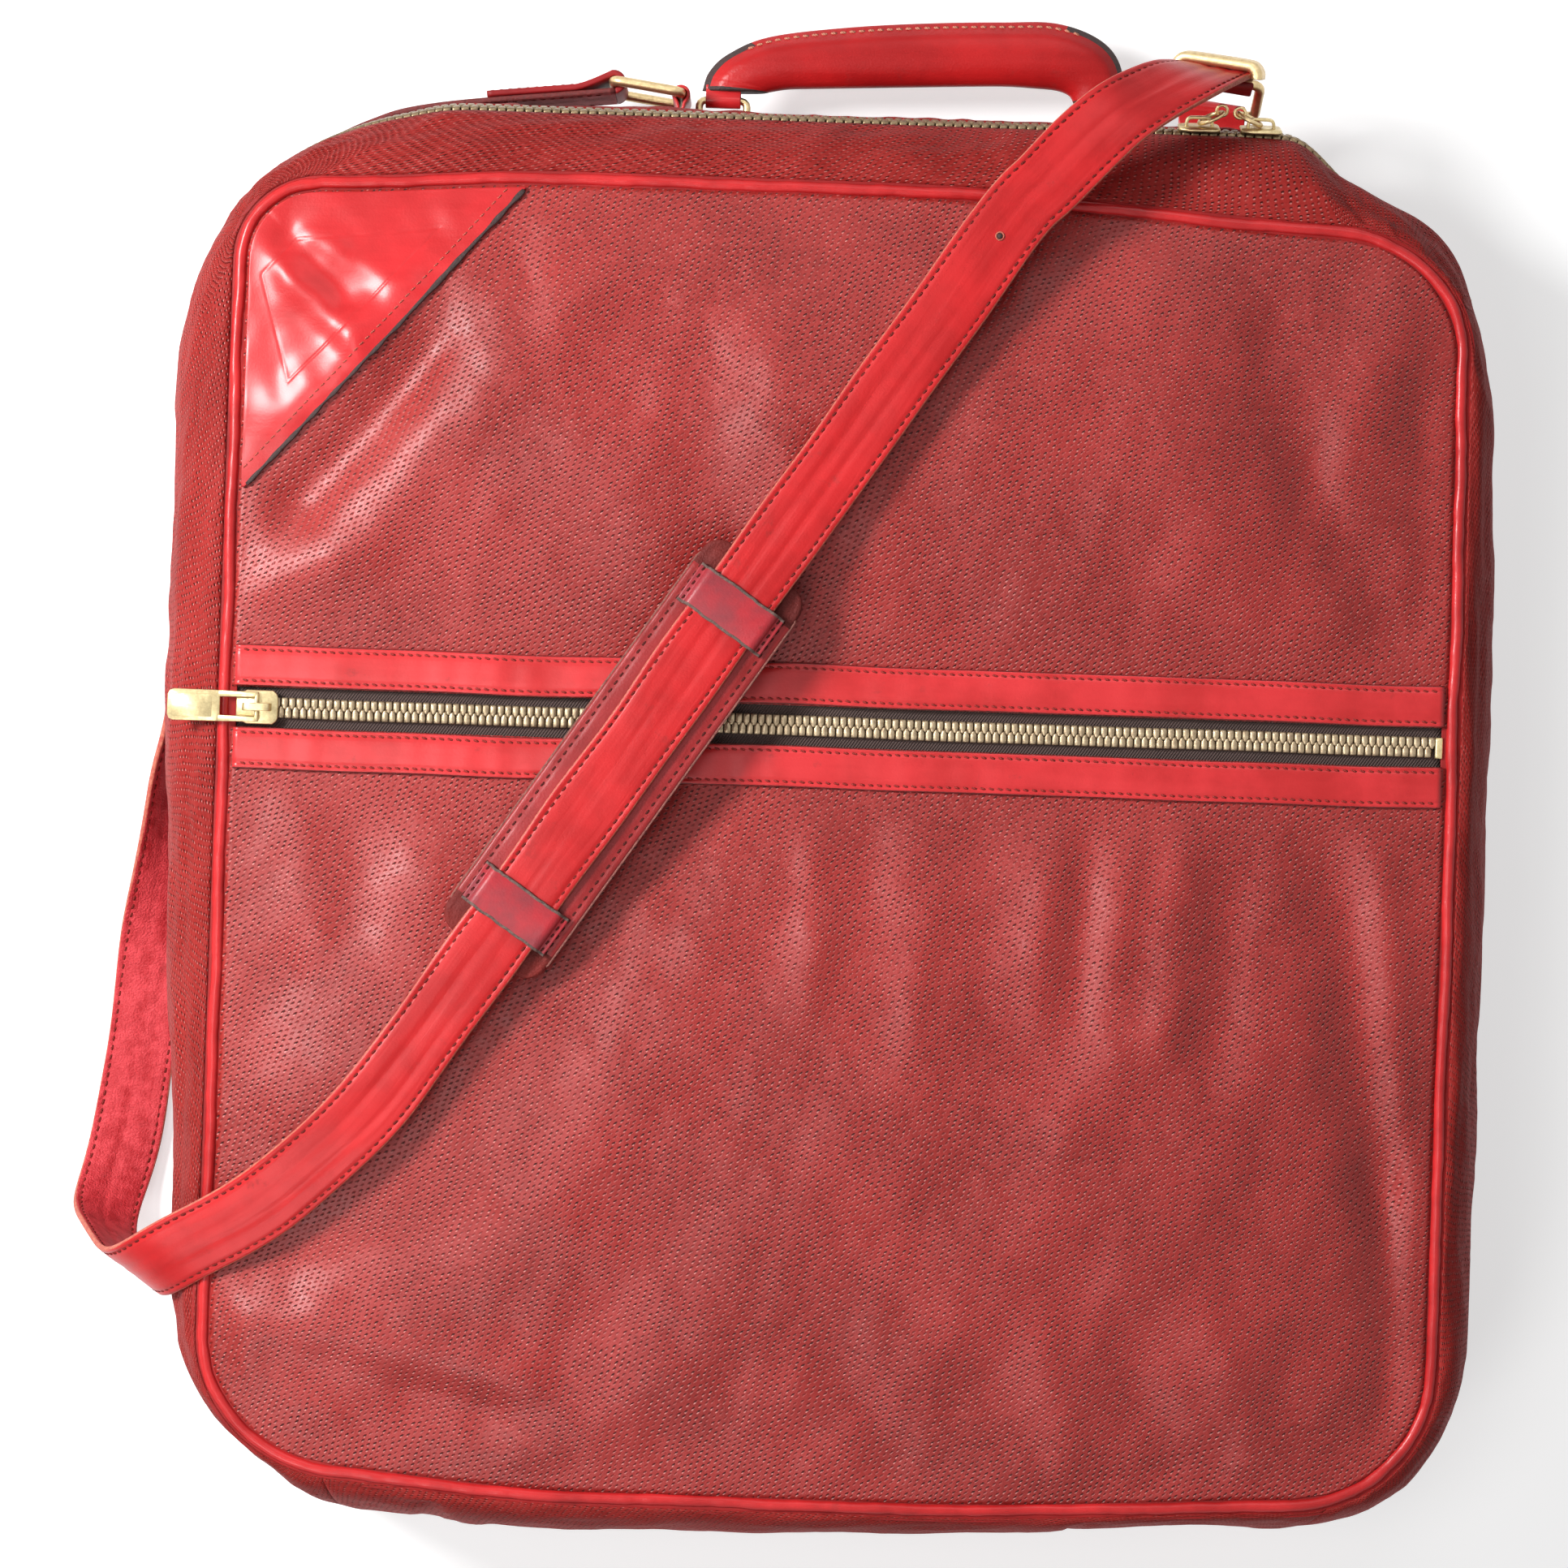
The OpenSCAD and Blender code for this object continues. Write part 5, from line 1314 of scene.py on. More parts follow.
rings = Parts()
for x in handle_xs:
    wire_loop(rings, (x, hinge_y, handle_z), (1, 0, 0), (0, 1, 0), RING_W, RING_L, WIRE_R, 2.4)
rings.piece("handle_rings_brass", ring_brass, "handle_rings", "ring_metal", ("handle_rings",))


def leather_loop(parts, bar, bar_dir, to_root, length, width, r_in, thick):
    """A strip that runs from its root round a bar and back, with both legs pressed together."""
    bar, bar_dir, to_root = np.asarray(bar, float), unit(bar_dir), unit(to_root)
    over = np.cross(bar_dir, to_root)
    r = r_in + thick / 2
    flat = [(length, 0.52 * thick), (0.6 * length, 0.54 * thick), (max(r * 1.7, 3.0), 0.8 * thick)]
    turn = [(r * math.cos(a), r * math.sin(a)) for a in np.radians(np.linspace(55, 305, 13))]
    back = [(a, -b) for a, b in flat[::-1]]
    line = smooth_path(np.array(flat + turn + back), 3)
    path = bar + line[:, :1] * to_root + line[:, 1:2] * over
    up = np.cross(bar_dir, unit(np.gradient(path, axis=0)))
    parts.loft(path, up, rounded_bar(width, thick, thick * 0.35))


chapes = Parts()
tabs = Parts()
chape_low = box_mm("handle_chapes")[0]
tab_high = box_mm("handle_end_tabs")[1]
for x in handle_xs:
    leather_loop(chapes, (x, hinge_y, handle_z), (1, 0, 0), (0, -1, 0), hinge_y - chape_low[1], CHAPE_W, WIRE_R + 0.3, LOOP_T)
    leather_loop(tabs, (x, outer_bar_y, handle_z), (1, 0, 0), (0, 1, 0), tab_high[1] - outer_bar_y + 2.5, CHAPE_W, WIRE_R + 0.3, LOOP_T)
chapes.piece("handle_chapes_leather", trim, "shell", "trim_leather", ("handle_chapes",))
tabs.piece("handle_tabs_leather", trim, "handle", "trim_leather", ("handle_end_tabs",))
print("handle rings at x =", [round(float(x)) for x in handle_xs])

# %% Rolled grip with its sewn edge
GRIP_RISE, GRIP_T = 31.0, 15.0
GRIP_PAIRS = [
    [0, 17, -0.03, -8.5, -0.03, 0.62], [0, 21, 0, -6, 0.22, 0.75], [0, 27, 0.03, 1.5, 0.46, 0.9],
    [0, 39, 0.05, 18, 0.7, 1], [0, 64, 0.09, 50.6, 0.86, 1], [0, 89, 0.13, 84, 0.95, 1],
    [1, -38.6, 0.16, -39.4, 0.99, 1], [1, -26, 0.15, -18, 1, 1], [1, -17, 0.13, -1, 0.82, 0.9],
    [1, -12, 0.07, 8, 0.5, 0.75], [1, -10, -0.03, 10.5, -0.03, 0.62],
]
grip_y = outer_bar_y + WIRE_R + 0.3 + LOOP_T + 1.5


def grip_rows():
    rows = []
    for end, x0, y0, x1, y1, up in GRIP_PAIRS:
        x = handle_xs[end]
        rows.append([x + x0, grip_y + y0 * GRIP_RISE, x + x1, grip_y + y1 * GRIP_RISE, up * GRIP_T / 2])
    return smooth_path(rows, 8)


grip_table = grip_rows()
GRIP_SIDES = 40


def grip_mesh():
    a = np.arange(GRIP_SIDES) * 2 * math.pi / GRIP_SIDES
    rings_of = []
    for i, (x0, y0, x1, y1, up) in enumerate(grip_table):
        mid = np.array([(x0 + x1) / 2, (y0 + y1) / 2])
        half = np.array([(x1 - x0) / 2, (y1 - y0) / 2])
        c, s = np.cos(a), np.sin(a)
        fin = np.clip((c - 0.55) / 0.45, 0, 1)
        thin = np.where(c > 0.55, 1 - 0.62 * fin ** 0.7, 1.0)
        xy = mid + half * c[:, None]
        wrinkle = 0.18 * math.sin(i * 1.9) * np.clip(1 - abs(i - 4) / 5, 0, 1)
        z = handle_z + (up + wrinkle) * s * thin
        rings_of.append(np.column_stack([xy, z]))
    rings_of = np.array(rings_of)
    marks = []
    count = len(grip_table)
    for i in range(count - 1):
        for j in range(GRIP_SIDES):
            on_end = (j < 4 or j >= GRIP_SIDES - 4) and not 21 <= i <= 57
            edge = on_end or i < 2 or i > count - 4
            marks.append(1 if edge else 0)
    marks += [1, 1]
    faces = [f[::-1] for f in loft_faces(count, GRIP_SIDES)]
    make_piece("handle_grip_leather", rings_of.reshape(-1, 3), faces, [grip_leather, dark_edge], "handle",
               ("handle_grip",), marks=marks)
    return rings_of


grip_skin = grip_mesh()


def grip_stitches():
    parts = Parts()
    for j, up in ((4, 1), (GRIP_SIDES - 4, -1)):
        row = grip_skin[20:-20, j] + [0, 0, 0.12 * up]
        stitch_parts(parts, row, (0, 0.25, up), 3.7, 2.7, 1.1, 0.6)
    parts.piece("handle_grip_stitches", tan_thread, "handle", "trim_leather")


grip_stitches()
print("grip from y", round(float(grip_skin[..., 1].min())), "to", round(float(grip_skin[..., 1].max())))

# %% [markdown]
# ## Shoulder strap
# One strip of leather goes from the right ring over the front, round the left side and back to
# the left ring. Its route is a list of places with the way its outer face looks, and a smooth
# curve runs through them. The outer face, the inner face and the cut edges have own finishes.

# %% Route of the strap
STRAP_W, STRAP_T = 28.0, 2.6
strap_z = box_mm("pad_keepers")[0][2] + STRAP_T / 2 + 0.1
side_left, top_y = bulge_box[0], bulge_box[3]
STRAP_WIRE = 2.0
fold_r = STRAP_WIRE + 0.3 + STRAP_T / 2
run_dir = np.array([math.cos(math.radians(56.2)), math.sin(math.radians(56.2)), 0])
keep_low, keep_high = box_mm("strap_pad")
pad_at = np.array([(keep_low[0] + keep_high[0]) / 2, (keep_low[1] + keep_high[1]) / 2, strap_z])
right_dir = np.array([math.cos(math.radians(-7.5)), math.sin(math.radians(-7.5)), 0])
right_bar = np.array([half_w - 95, top_y + 18.6, 62.0])
right_out = unit([0.127, 0.971, 0.2])
right_up = np.cross(right_dir, right_out)
right_inner = right_bar + unit([0, -0.42, -0.91]) * 22.0
left_bar = np.array([-97.3, top_y + 12.6, 29.0])
slope = math.radians(8)
left_along = np.array([math.cos(slope), math.sin(slope), 0])
left_out = np.array([-math.sin(slope), math.cos(slope), 0])
left_inner = left_bar + 27.0 * np.array([math.cos(slope), -math.sin(slope), 0])


def strap_stations():
    hug = STRAP_T / 2 + 0.8
    turn_from = np.array([side_left + 15.5, -164, front_z + 3])
    turn_side, turn_ahead = np.array([-0.844, 0.536, 0]), np.array([-0.543, -0.8375, 0])
    turn_h, turn_r = front_z - 2, 18.0
    arc = turn_r * math.pi / 2
    whole = 2 * arc + turn_h - 2 * turn_r
    rows = [
        (right_bar + fold_r * right_out, right_out),
        (right_bar + [-1.7, 0.4, 18], (0, 0.87, 0.49)),
        ((127, top_y + 13, front_z - 2), (0, 0.70, 0.71)),
        ((113, top_y + 5, front_z + 10), (0, 0.46, 0.89)),
        ((98, top_y - 5.5, front_z + 19), (0, 0.2, 0.98)),
        ((84, top_y - 18.5, strap_z - 0.6), (0, 0.06, 1)),
        ((71, top_y - 33, strap_z), (0, 0, 1)),
    ]
    rows += [(pad_at + s * run_dir, (0, 0, 1)) for s in (252, 200, 140, 80, 0, -70, -134)]
    rows += [
        ((-177, -109, strap_z - 1.5), (0.02, -0.06, 1)),
        ((-202, -134, front_z + 15), (0.04, -0.16, 1)),
        ((-223, -150.5, front_z + 8), (0.02, -0.14, 1)),
    ]
    for way in np.linspace(0, whole, 12):
        if way < arc:
            a, fall = way / turn_r, turn_r * (1 - math.cos(way / turn_r))
        elif way < whole - arc:
            a, fall = math.pi / 2, turn_r + way - arc
        else:
            a = math.pi - (whole - way) / turn_r
            fall = turn_h - turn_r * (1 + math.cos(a))
        place = turn_from + turn_side * 43 * float(smooth(way / whole, -0.12, 1.12)) + turn_ahead * turn_r * math.sin(a) - [0, 0, fall]
        rows.append((place, turn_ahead * math.sin(a) + [0, 0, math.cos(a)]))
    rows += [
        ((side_left - 14, -100, 3.6), (0, 0, -1)),
        ((side_left - 10, -60, 2.6), (0, 0, -1)),
        ((side_left - 5, -20, 8.5), (-0.5, 0, -0.866)),
        ((side_left - 3, 15, 14), (-0.87, 0, -0.5)),
        ((side_left - hug, 60, 15), (-1, 0, 0)),
        ((side_left - hug, top_y - 115, 18), (-1, 0, 0)),
    ]
    for deg in np.arange(166, 97.9, -13.6):
        a = math.radians(deg)
        z = 18 + (left_bar[2] - 18) * (180 - deg) / 82
        rows.append(((side_left + 115 + (115 + hug) * math.cos(a), top_y - 115 + (115 + hug) * math.sin(a), z),
                     (math.cos(a), math.sin(a), 0)))
    rows.append((left_bar - fold_r * left_out, left_out))
    return np.array([np.concatenate([np.asarray(p, float), unit(n)]) for p, n in rows])


def blur(rows, reach):
    """Rows smoothed along their order."""
    steps = np.arange(-3 * reach, 3 * reach + 1)
    weight = np.exp(-0.5 * (steps / reach) ** 2)
    padded = np.pad(rows, ((3 * reach, 3 * reach), (0, 0)), mode="edge")
    return np.stack([np.convolve(padded[:, k], weight / weight.sum(), "valid") for k in range(rows.shape[1])], -1)


def strap_frame():
    rows = smooth_path(strap_stations(), 10)
    path, out, run = resample(rows[:, :3], 2.2, rows[:, 3:])
    from_turn = np.linalg.norm(path[:, :2] - [side_left, -165], axis=1)
    soft = (1 - smooth(from_turn, 42, 85))[:, None]
    path = path + (blur(path, 6) - path) * soft
    out = out + (blur(out, 9) - out) * soft
    path[:, 2] = np.maximum(path[:, 2], 2.2)
    return path, unit(out), run


strap_path, strap_out, strap_run = strap_frame()
print("strap length:", round(float(strap_run[-1])), "mm")

# %% Strap with faces, edges and seams


STRAP_SEAM = STRAP_W / 2 - 2.6


def strap_section():
    """Outer face, right edge, inner face and left edge, and the finish of each step round them."""
    half, t = STRAP_W / 2, STRAP_T / 2
    face = sewn_strip(half, STRAP_T, STRAP_SEAM, 0.34, 0.22, 15)
    right = np.array([(half - 0.1, t * 0.55), (half, 0), (half - 0.1, -t * 0.55)])
    back = (face * [1, -0.92])[::-1]
    left = (right * [-1, 1])[::-1]
    kinds = [0] * (len(face) - 1) + [2] * 4 + [1] * (len(back) - 1) + [2] * 4
    return np.concatenate([face, right, back, left]), kinds


def strap_piece():
    section, kinds = strap_section()
    ahead, side, over = frames(strap_path, strap_out)
    side = -side
    shape = np.repeat(section[None], len(strap_path), 0)
    run = strap_run[:, None]
    v = section[None, :, 0]
    first = np.exp(-((v + 2.6 - 1.5 * np.sin(run / 55)) / 1.5) ** 2) * (0.6 + 0.4 * np.sin(run / 37))
    second = np.exp(-((v - 4.0 - 1.2 * np.sin(run / 70 + 1)) / 1.2) ** 2) * (0.5 + 0.5 * np.sin(run / 48 + 2))
    crease = -0.42 * (first + second) * np.sign(section[None, :, 1])
    lumps = 0.10 * waves(run + 0 * section[None, :, 0], section[None, :, 0] + 0 * run, 30, 91, 10)
    fade = np.clip((1 - np.abs(section[None, :, 0]) / (STRAP_W / 2)) * 4, 0, 1)
    shape[..., 1] += (crease + lumps) * fade
    shape[..., 0] += 0.22 * waves(run + 0 * section[None, :, 0], run * 0 + np.sign(section[None, :, 0]) * 40, 48, 92, 6)
    points = loft_points(strap_path, side, over, shape)
    faces = loft_faces(len(strap_path), len(section))
    # The cut edge on the last 230 mm, round the bag's left side and top corner, gets the dark red finish: painted
    # shade.
    shaded_end = strap_run[:-1, None] > strap_run[-1] - 230
    kinds = np.broadcast_to(np.array(kinds)[None], (len(strap_path) - 1, len(kinds)))
    marks = np.where(shaded_end & (kinds == 2), 3, kinds).ravel().tolist() + [2, 3]
    lay = np.stack([np.repeat(strap_run, len(section)), np.tile(section[:, 0], len(strap_path)),
                    np.tile(section[:, 1], len(strap_path))], -1)
    finishes = [strap_face, strap_back, raw_edge, shaded_strap_edge]
    make_piece("shoulder_strap_leather", points, faces, finishes, "shell", ("shoulder_strap",),
               lay=lay, marks=marks)
    rows = Parts()
    for s in (-1, 1):
        for face, depth in ((1, 0.36), (-1, 0.42)):
            line = strap_path + side * s * STRAP_SEAM + over * face * (STRAP_T / 2 - depth)
            stitch_parts(rows, line[3:-3], over[3:-3] * face, 3.7, 2.6, 0.95, 0.5, 8)
    rows.piece("shoulder_strap_stitches", brown_thread, "shell", "strap_leather")


strap_piece()
print("strap rings and folds next")

# %% Strap folds, rings and their leather loops


def fold_piece(name, node, bar, path, out, outer, flap):
    """The strap's end goes round the bar and back along the strap; path and out start at the bar."""
    beyond = unit(path[0] - path[4])
    across = out[0] * (1 if outer else -1)
    radial = np.array([beyond * math.sin(a) - across * math.cos(a) for a in np.radians(np.linspace(0, 180, 13))])
    count = max(4, int(flap / 2.2))
    run = np.arange(1, count) * 2.2
    gap = STRAP_T + 0.1 + (2 * fold_r - STRAP_T - 0.1) * np.clip(1 - run / 15, 0, 1) ** 1.3
    leaf_up = out[1:count] * (1 if outer else -1)
    line = np.concatenate([np.asarray(bar) + fold_r * radial, path[1:count] + leaf_up * gap[:, None]])
    up = np.concatenate([radial, leaf_up])
    Parts().loft(line, up, rounded_bar(STRAP_W - 0.3, STRAP_T - 0.2, 0.8)).piece(
        name, shaded_strap_fold_leather, "shell", "strap_leather", (node,))
    if flap > 20:
        rows = Parts()
        side = np.cross(unit(np.gradient(line, axis=0)), up)
        for s in (-1, 1):
            seam = line + side * s * STRAP_SEAM + up * (STRAP_T / 2 - 0.08)
            stitch_parts(rows, seam[15:-1], up[15:-1], 3.4, 2.5, 0.68, 0.5)
        rows.piece(name + "_stitches", brown_thread, "shell", "strap_leather")


# The folded strap ends are a darker copy of the strap leather: painted shade.
shaded_strap_fold_leather = leather_finish("strap_fold_red_shaded", (0.32, 0.016, 0.018), (0.20, 0.010, 0.011), 0.4, 0.45, coat=0)
fold_piece("strap_fold_left_leather", "strap_fold_left", left_bar, strap_path[::-1], strap_out[::-1], True, 55)
fold_piece("strap_fold_right_leather", "strap_fold_right", right_bar, strap_path, strap_out, False, 8)


def strap_ring(name, node, bar, long_dir, way, length):
    parts = Parts()
    wire_loop(parts, bar, long_dir, way, STRAP_W + 2 * STRAP_WIRE + 2, length, STRAP_WIRE, 3.2)
    parts.piece(name, ring_brass, "shell", "ring_metal", (node,))


strap_ring("strap_ring_left_brass", "strap_ring_left", left_bar, (0, 0, 1), left_inner - left_bar, 27.0)
strap_ring("strap_ring_right_brass", "strap_ring_right", right_bar, right_dir, right_inner - right_bar, 22.0)



def strap_clamp():
    """A rounded brass bar that holds the folded end at the right ring."""
    i = int(np.argmin(np.abs(strap_run - 17)))
    ahead, side, over = frames(strap_path, strap_out)
    half = STRAP_W / 2 + 1.4
    bend = [(-half - 0.6, -1.2), (-half - 0.4, 0.9), (-half + 1.2, 2.8), (-half + 4, 3.4), (0, 3.5),
            (half - 4, 3.4), (half - 1.2, 2.8), (half + 0.4, 0.9), (half + 0.6, -1.2)]
    bend = smooth_path(bend, 4)
    path = strap_path[i] + bend[:, :1] * side[i] + bend[:, 1:2] * over[i]
    up = np.cross(ahead[i], unit(np.gradient(path, axis=0)))
    up = up * np.sign(np.dot(up[len(up) // 2], over[i]))
    Parts().loft(path, up, rounded_bar(9, 4.4, 1.9, 5)).piece("strap_end_clamp", ring_brass, "shell", "ring_metal")


def strap_hole():
    """An old punched hole in the strap: a raw lip round a dark disc, which is painted shade in the hole."""
    place = pad_at + 242.8 * run_dir + [0, 0, STRAP_T / 2 + 0.05]
    Parts().loft(place + ring_path(1.5, 18), (0, 0, 1), circle(0.32, 8), loop=True).piece(
        "strap_hole_lip", raw_edge, "shell", "strap_leather")
    # The dark disc is painted shade: the strap itself has no hole.
    pit = np.array([place + [0, 0, z] for z in (-0.5, -0.25, 0.02)])
    Parts().loft(pit, run_dir, circle(1.35, 14)).piece("strap_hole_shade_disc", dark_edge, "shell", "strap_leather")


strap_clamp()
strap_hole()

left_chape = Parts()
root = left_inner[1] - box_mm("strap_chape_left")[0][1]
leather_loop(left_chape, left_inner, (0, 0, 1), (0, -1, 0), root, STRAP_W - 2, STRAP_WIRE + 0.3, LOOP_T)
left_chape.piece("strap_chape_left_leather", trim, "shell", "trim_leather", ("strap_chape_left",))
right_chape = Parts()
root = right_inner[1] - box_mm("strap_chape_right")[0][1]
leather_loop(right_chape, right_inner, right_dir, (0, -1, 0), root, STRAP_W - 2, STRAP_WIRE + 0.3, LOOP_T)
right_chape.piece("strap_chape_right_leather", trim, "shell", "trim_leather", ("strap_chape_right",))
print("rings at", [round(float(v)) for v in left_bar], [round(float(v)) for v in right_bar])

# %% [markdown]
# ## Shoulder pad and keepers
# The pad is a flat cushion under the strap. It is thickest in the middle, sewn all round, and its
# ends are worn to the tan. Two keepers hold the strap on it.

# %% Pad and keepers
PAD_L, PAD_W, PAD_T = 180.0, 45.0, 3.0
pad_side = np.cross([0, 0, 1], run_dir)
pad_bottom = box_mm("strap_pad")[0][2]


def pad_piece():
    s = np.concatenate([-90 + 8 * (1 - np.cos(np.linspace(0, math.pi / 2, 8))), np.linspace(-80, 80, 90),
                        90 - 8 * (1 - np.sin(np.linspace(0, math.pi / 2, 8)))])
    over = np.clip(np.abs(s) - (PAD_L / 2 - 8), 0, 8)
    half = PAD_W / 2 - 8 + np.sqrt(np.maximum(64 - over ** 2, 0.4))
    t = np.linspace(-1, 1, 41)
    across = half[:, None] * t[None]
    along = np.repeat(s[:, None], len(t), 1)
    edge = np.minimum(half[:, None] - np.abs(across), PAD_L / 2 - np.abs(along))
    plump = np.clip(edge / 9, 0, 1)
    plump = np.sqrt(np.clip(1 - (1 - plump) ** 2, 0, 1))
    seam = 0.5 * np.exp(-((edge - 3.2) / 0.8) ** 2)
    top = 1.7 + (PAD_T - 1.85) * plump - seam + 0.12 * np.clip(waves(along, across, 16, 95), -1, 1) * (plump < 0.9)
    top -= 0.9 * smooth(np.abs(along) + 0.8 * np.sin(across / 3.1), 76.5, 78)
    low = 0.35 - 0.30 * plump
    base = np.array([pad_at[0], pad_at[1], pad_bottom])
    place = base + along[..., None] * run_dir + across[..., None] * pad_side
    outer, inner = place.copy(), place.copy()
    outer[..., 2] += top
    inner[..., 2] += low
    lay = np.stack([along, across], -1)
    ends = (np.abs(along[:-1, :-1] + along[1:, 1:]) / 2 > 77).astype(int)
    pad = sheet_piece("strap_pad_cushion", outer, inner, [pad_leather, worn_leather], "pad",
                      ("strap_pad",), lay, ends)
    rows = Parts()
    for sign in (-1, 1):
        i = int(np.argmin(np.abs(t * 22.5 - sign * 19.2)))
        line = outer[10:-10, i] + [0, 0, 0.05]
        stitch_parts(rows, line, (0, 0, 1), 3.6, 2.5, 0.9, 0.45)
    rows.piece("strap_pad_stitches", dark_thread, "pad", "pad_leather")
    rim_line = [outer[0, 2:-2], outer[8:-8, -1], outer[-1, -3:1:-1], outer[-9:7:-1, 0]]
    rim = np.concatenate(rim_line)
    rim[:, 2] -= 0.55
    rim, _ = resample(rim, 2.0)
    Parts().loft(rim, (0, 0, 1), rounded_bar(0.9, 1.5, 0.3), loop=True).piece("strap_pad_edge", pad_edge, "pad", "pad_leather")


pad_piece()


def keepers():
    low, high = box_mm("pad_keepers")
    base_z = low[2]
    w = STRAP_W / 2 + 1
    h = STRAP_T + 0.4
    bandw, bandt = 17.0, 1.4
    line = [(-w - 4, 0.7), (-w - 1.5, 0.75), (-w - 0.7, 1.4), (-w - 0.55, h - 0.4), (-w + 0.8, h + 0.62), (-w + 4, h + 0.72),
            (0, h + 0.72), (w - 4, h + 0.72), (w - 0.8, h + 0.62), (w + 0.55, h - 0.4), (w + 0.7, 1.4), (w + 1.5, 0.75), (w + 4, 0.7)]
    line = smooth_path(np.array(line), 5)
    parts, edges, rows = Parts(), Parts(), Parts()
    for s in (-1, 1):
        mid = np.array([pad_at[0], pad_at[1], base_z]) + s * 69.5 * run_dir
        path = mid + line[:, :1] * pad_side + line[:, 1:2] * np.array([0, 0, 1.0])
        up = np.cross(run_dir, unit(np.gradient(path, axis=0)))
        up = up * np.sign(up[len(up) // 2, 2])
        parts.loft(path, up, rounded_bar(bandw - 0.8, bandt, 0.45))
        for e in (-1, 1):
            fray = 0.12 * waves(line[:, 0], line[:, 0] * 0, 5, 96 + e + 3 * s, 6)
            edges.loft(path + run_dir * (e * (bandw / 2 - 0.6) + fray)[:, None], up, rounded_bar(1.3, bandt + 0.1, 0.4))
        for k in (3, -4):
            foot = mid + pad_side * line[k, 0] + [0, 0, line[k, 1] + 0.72]
            row = foot + run_dir * np.linspace(-6.5, 6.5, 5)[:, None]
            stitch_parts(rows, row, (0, 0, 1), 3.3, 2.2, 0.8, 0.4)
    parts.piece("pad_keepers_leather", keeper_leather, "pad", "strap_leather", ("pad_keepers",))
    edges.piece("pad_keepers_edges", keeper_edge, "pad", "strap_leather")
    rows.piece("pad_keepers_stitches", dark_thread, "pad", "strap_leather")


keepers()
print("pad and keepers done")

# %% [markdown]
# ## Hidden pieces
# Linings, the base board, the backing plates and the rope stay as the CAD made them, because the
# leather hides them. They still get their own cloth and fibre.

# %% Finishes for the pieces kept from the CAD
KEPT = {
    "pocket_lining": lining, "back_lining": lining, "base_board": board,
    "handle_core": rope, "handle_backing_plates": trim,
}
for node, finish in KEPT.items():
    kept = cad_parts[node]
    kept.data.materials.clear()
    kept.data.materials.append(finish)
print("kept from the CAD:", sorted(KEPT))

# %% [markdown]
# ## Floor, light and camera
# The picture was taken from straight above on a white ground, with soft daylight from the upper
# left. A big soft lamp there throws the strap's shadow to the lower right, and two weaker ones
# give the sheen on the lower left and the right.

# %% Floor, lamps and camera


def floor_finish():
    f = Finish("pale_floor")
    where = f.places(False)
    cloud = f.ramp(f.noise(where, 120, 2.0), (0.3, 0.97), (0.7, 1.0))
    tree = f.tree
    plain = tree.nodes.new("ShaderNodeBsdfDiffuse")
    f.put(plain.inputs["Color"], f.mix(cloud, rgb(0.60, 0.60, 0.60), rgb(0.62, 0.62, 0.62)))
    glow = tree.nodes.new("ShaderNodeEmission")
    path = tree.nodes.new("ShaderNodeLightPath")
    seen = f.math("MAXIMUM", path.outputs["Is Camera Ray"], path.outputs["Is Glossy Ray"])
    seen = f.math("MAXIMUM", seen, path.outputs["Is Transmission Ray"])
    f.put(glow.inputs["Strength"], f.math("MULTIPLY", seen, 0.6))
    both = tree.nodes.new("ShaderNodeAddShader")
    tree.links.new(plain.outputs[0], both.inputs[0])
    tree.links.new(glow.outputs[0], both.inputs[1])
    out = [n for n in tree.nodes if n.type == "OUTPUT_MATERIAL"][0]
    tree.links.new(both.outputs[0], out.inputs["Surface"])
    return f.material


def floor_piece():
    size = 3.0
    mesh = bpy.data.meshes.new("floor")
    mesh.from_pydata([(-size, -size, -0.0004), (size, -size, -0.0004), (size, size, -0.0004), (-size, size, -0.0004)],
                     [], [(0, 1, 2, 3)])
    mesh.materials.append(floor_finish())
    floor = bpy.data.objects.new("floor", mesh)
    bpy.context.scene.collection.objects.link(floor)


floor_piece()


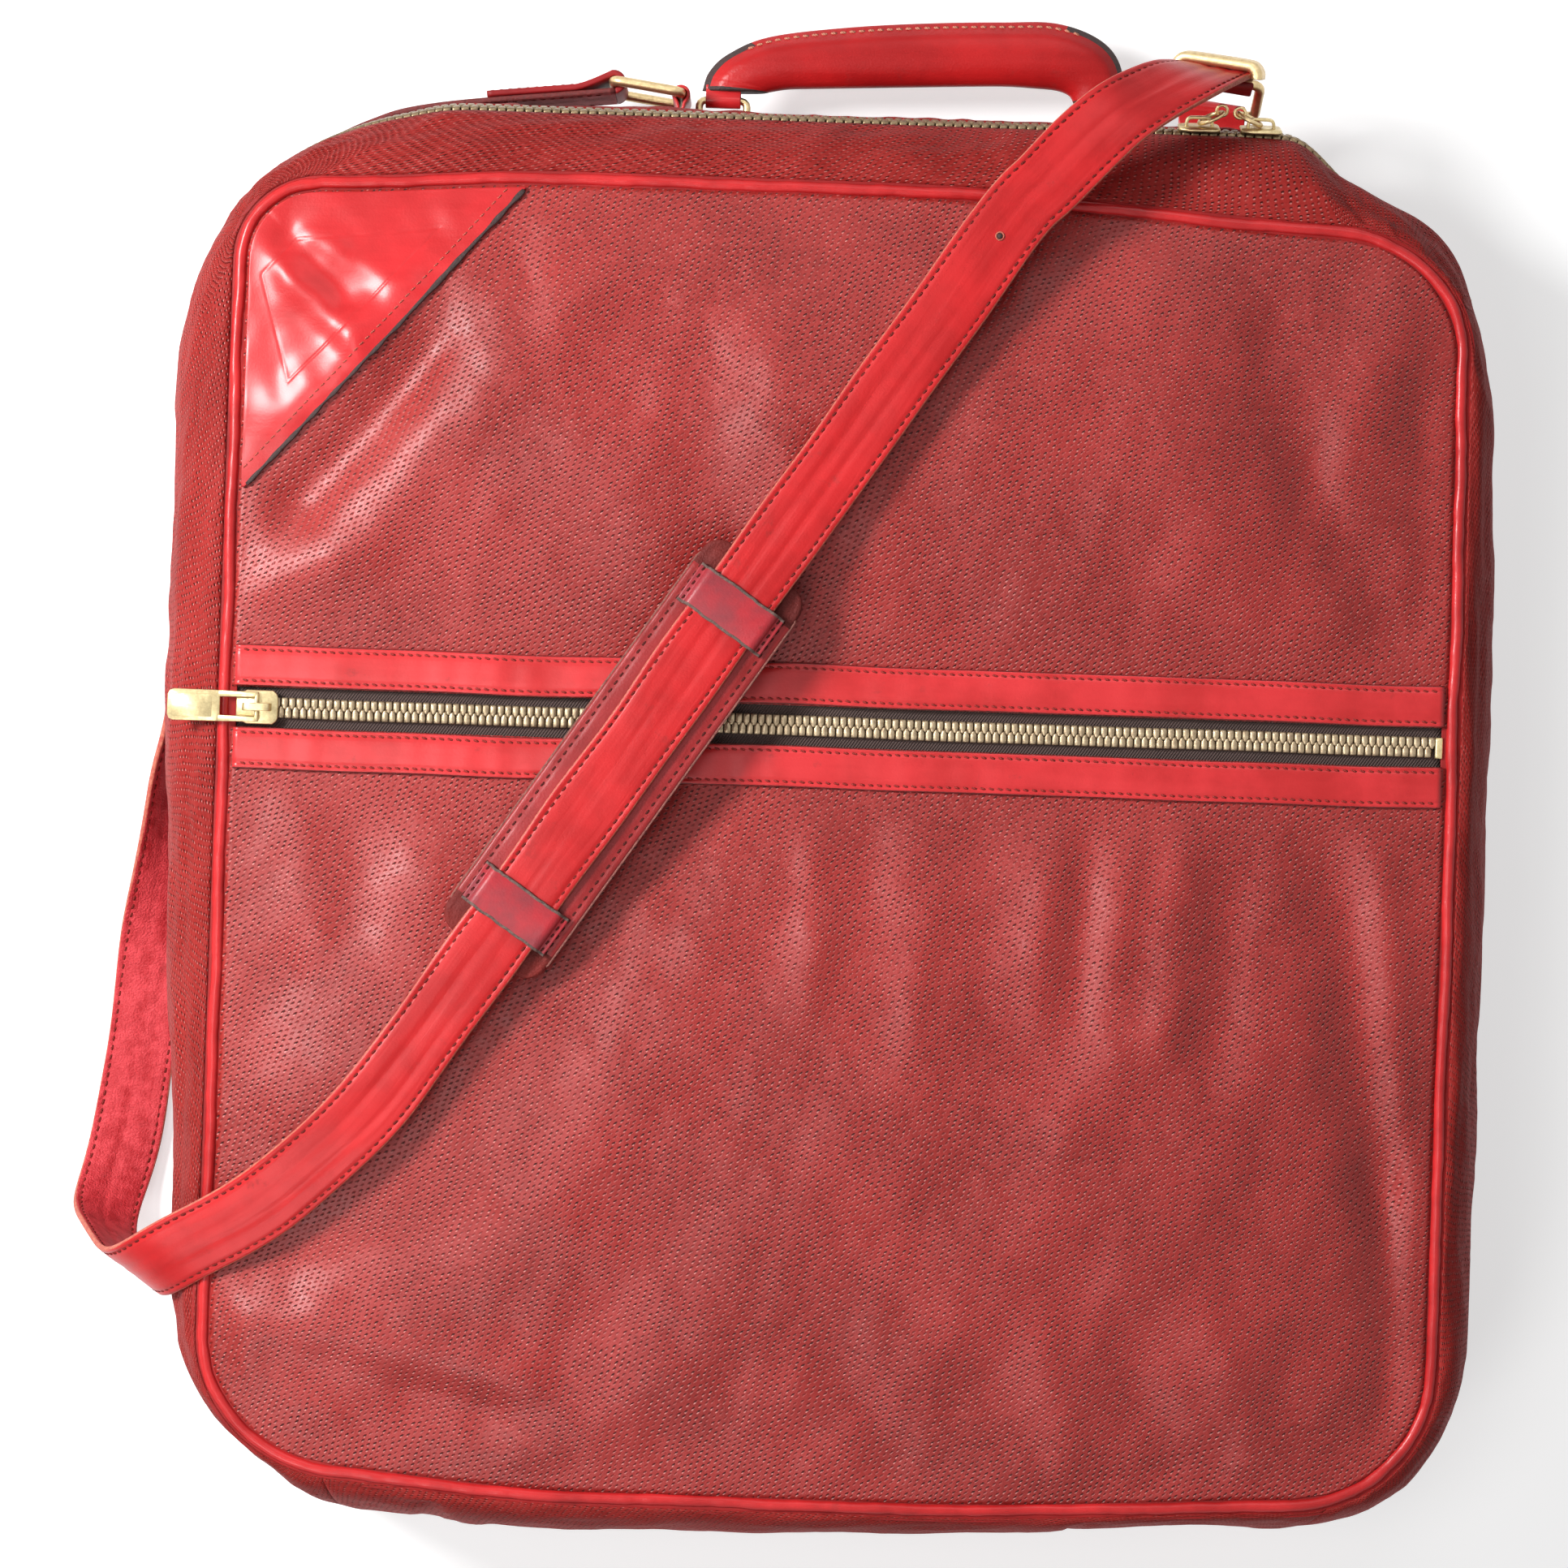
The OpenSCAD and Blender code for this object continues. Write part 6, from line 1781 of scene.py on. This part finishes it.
def soft_lamp(name, place, size, power, colour=(1, 1, 1)):
    data = bpy.data.lights.new(name, "AREA")
    data.shape = "DISK"
    data.size = size
    data.energy = power
    data.color = colour
    lamp = bpy.data.objects.new(name, data)
    lamp.location = place
    lamp.rotation_euler = (Vector((0, 0, 0.05)) - Vector(place)).to_track_quat("-Z", "Y").to_euler()
    bpy.context.scene.collection.objects.link(lamp)


soft_lamp("key_left", (-1.05, 0.46, 1.10), 0.42, 28)
soft_lamp("glare_left", (-0.55, -0.10, 1.72), 0.6, 4.5)
soft_lamp("fill_lower_left", (-0.60, -1.00, 1.30), 0.6, 6)
soft_lamp("fill_above", (0.3, 1.4, 1.5), 1.0, 4)
world = bpy.data.worlds.new("soft_daylight")
world.use_nodes = True
sky = world.node_tree.nodes["Background"]
sky.inputs["Color"].default_value = (1, 1, 1, 1)
rays = world.node_tree.nodes.new("ShaderNodeLightPath").outputs
seen = rays["Is Camera Ray"]
for kind in ("Is Glossy Ray", "Is Transmission Ray"):
    either = world.node_tree.nodes.new("ShaderNodeMath")
    either.operation = "MAXIMUM"
    world.node_tree.links.new(seen, either.inputs[0])
    world.node_tree.links.new(rays[kind], either.inputs[1])
    seen = either.outputs["Value"]
level = world.node_tree.nodes.new("ShaderNodeMapRange")
level.inputs["To Min"].default_value = 0.11
level.inputs["To Max"].default_value = 1.0
world.node_tree.links.new(seen, level.inputs["Value"])
world.node_tree.links.new(level.outputs["Result"], sky.inputs["Strength"])
bpy.context.scene.world = world

CAMERA_PLACE = (-20.2, 23.6, 1700.0)
camera_data = bpy.data.cameras.new("photo_camera")
camera_data.sensor_width = 36
camera_data.lens = 96
camera_data.clip_end = 20
camera = bpy.data.objects.new("photo_camera", camera_data)
camera.location = [v * MM for v in CAMERA_PLACE]
camera.rotation_euler = (0, 0, math.radians(2.0))
bpy.context.scene.collection.objects.link(camera)
bpy.context.scene.camera = camera
bpy.context.scene.view_settings.view_transform = "Standard"
print("camera at", CAMERA_PLACE, "mm")
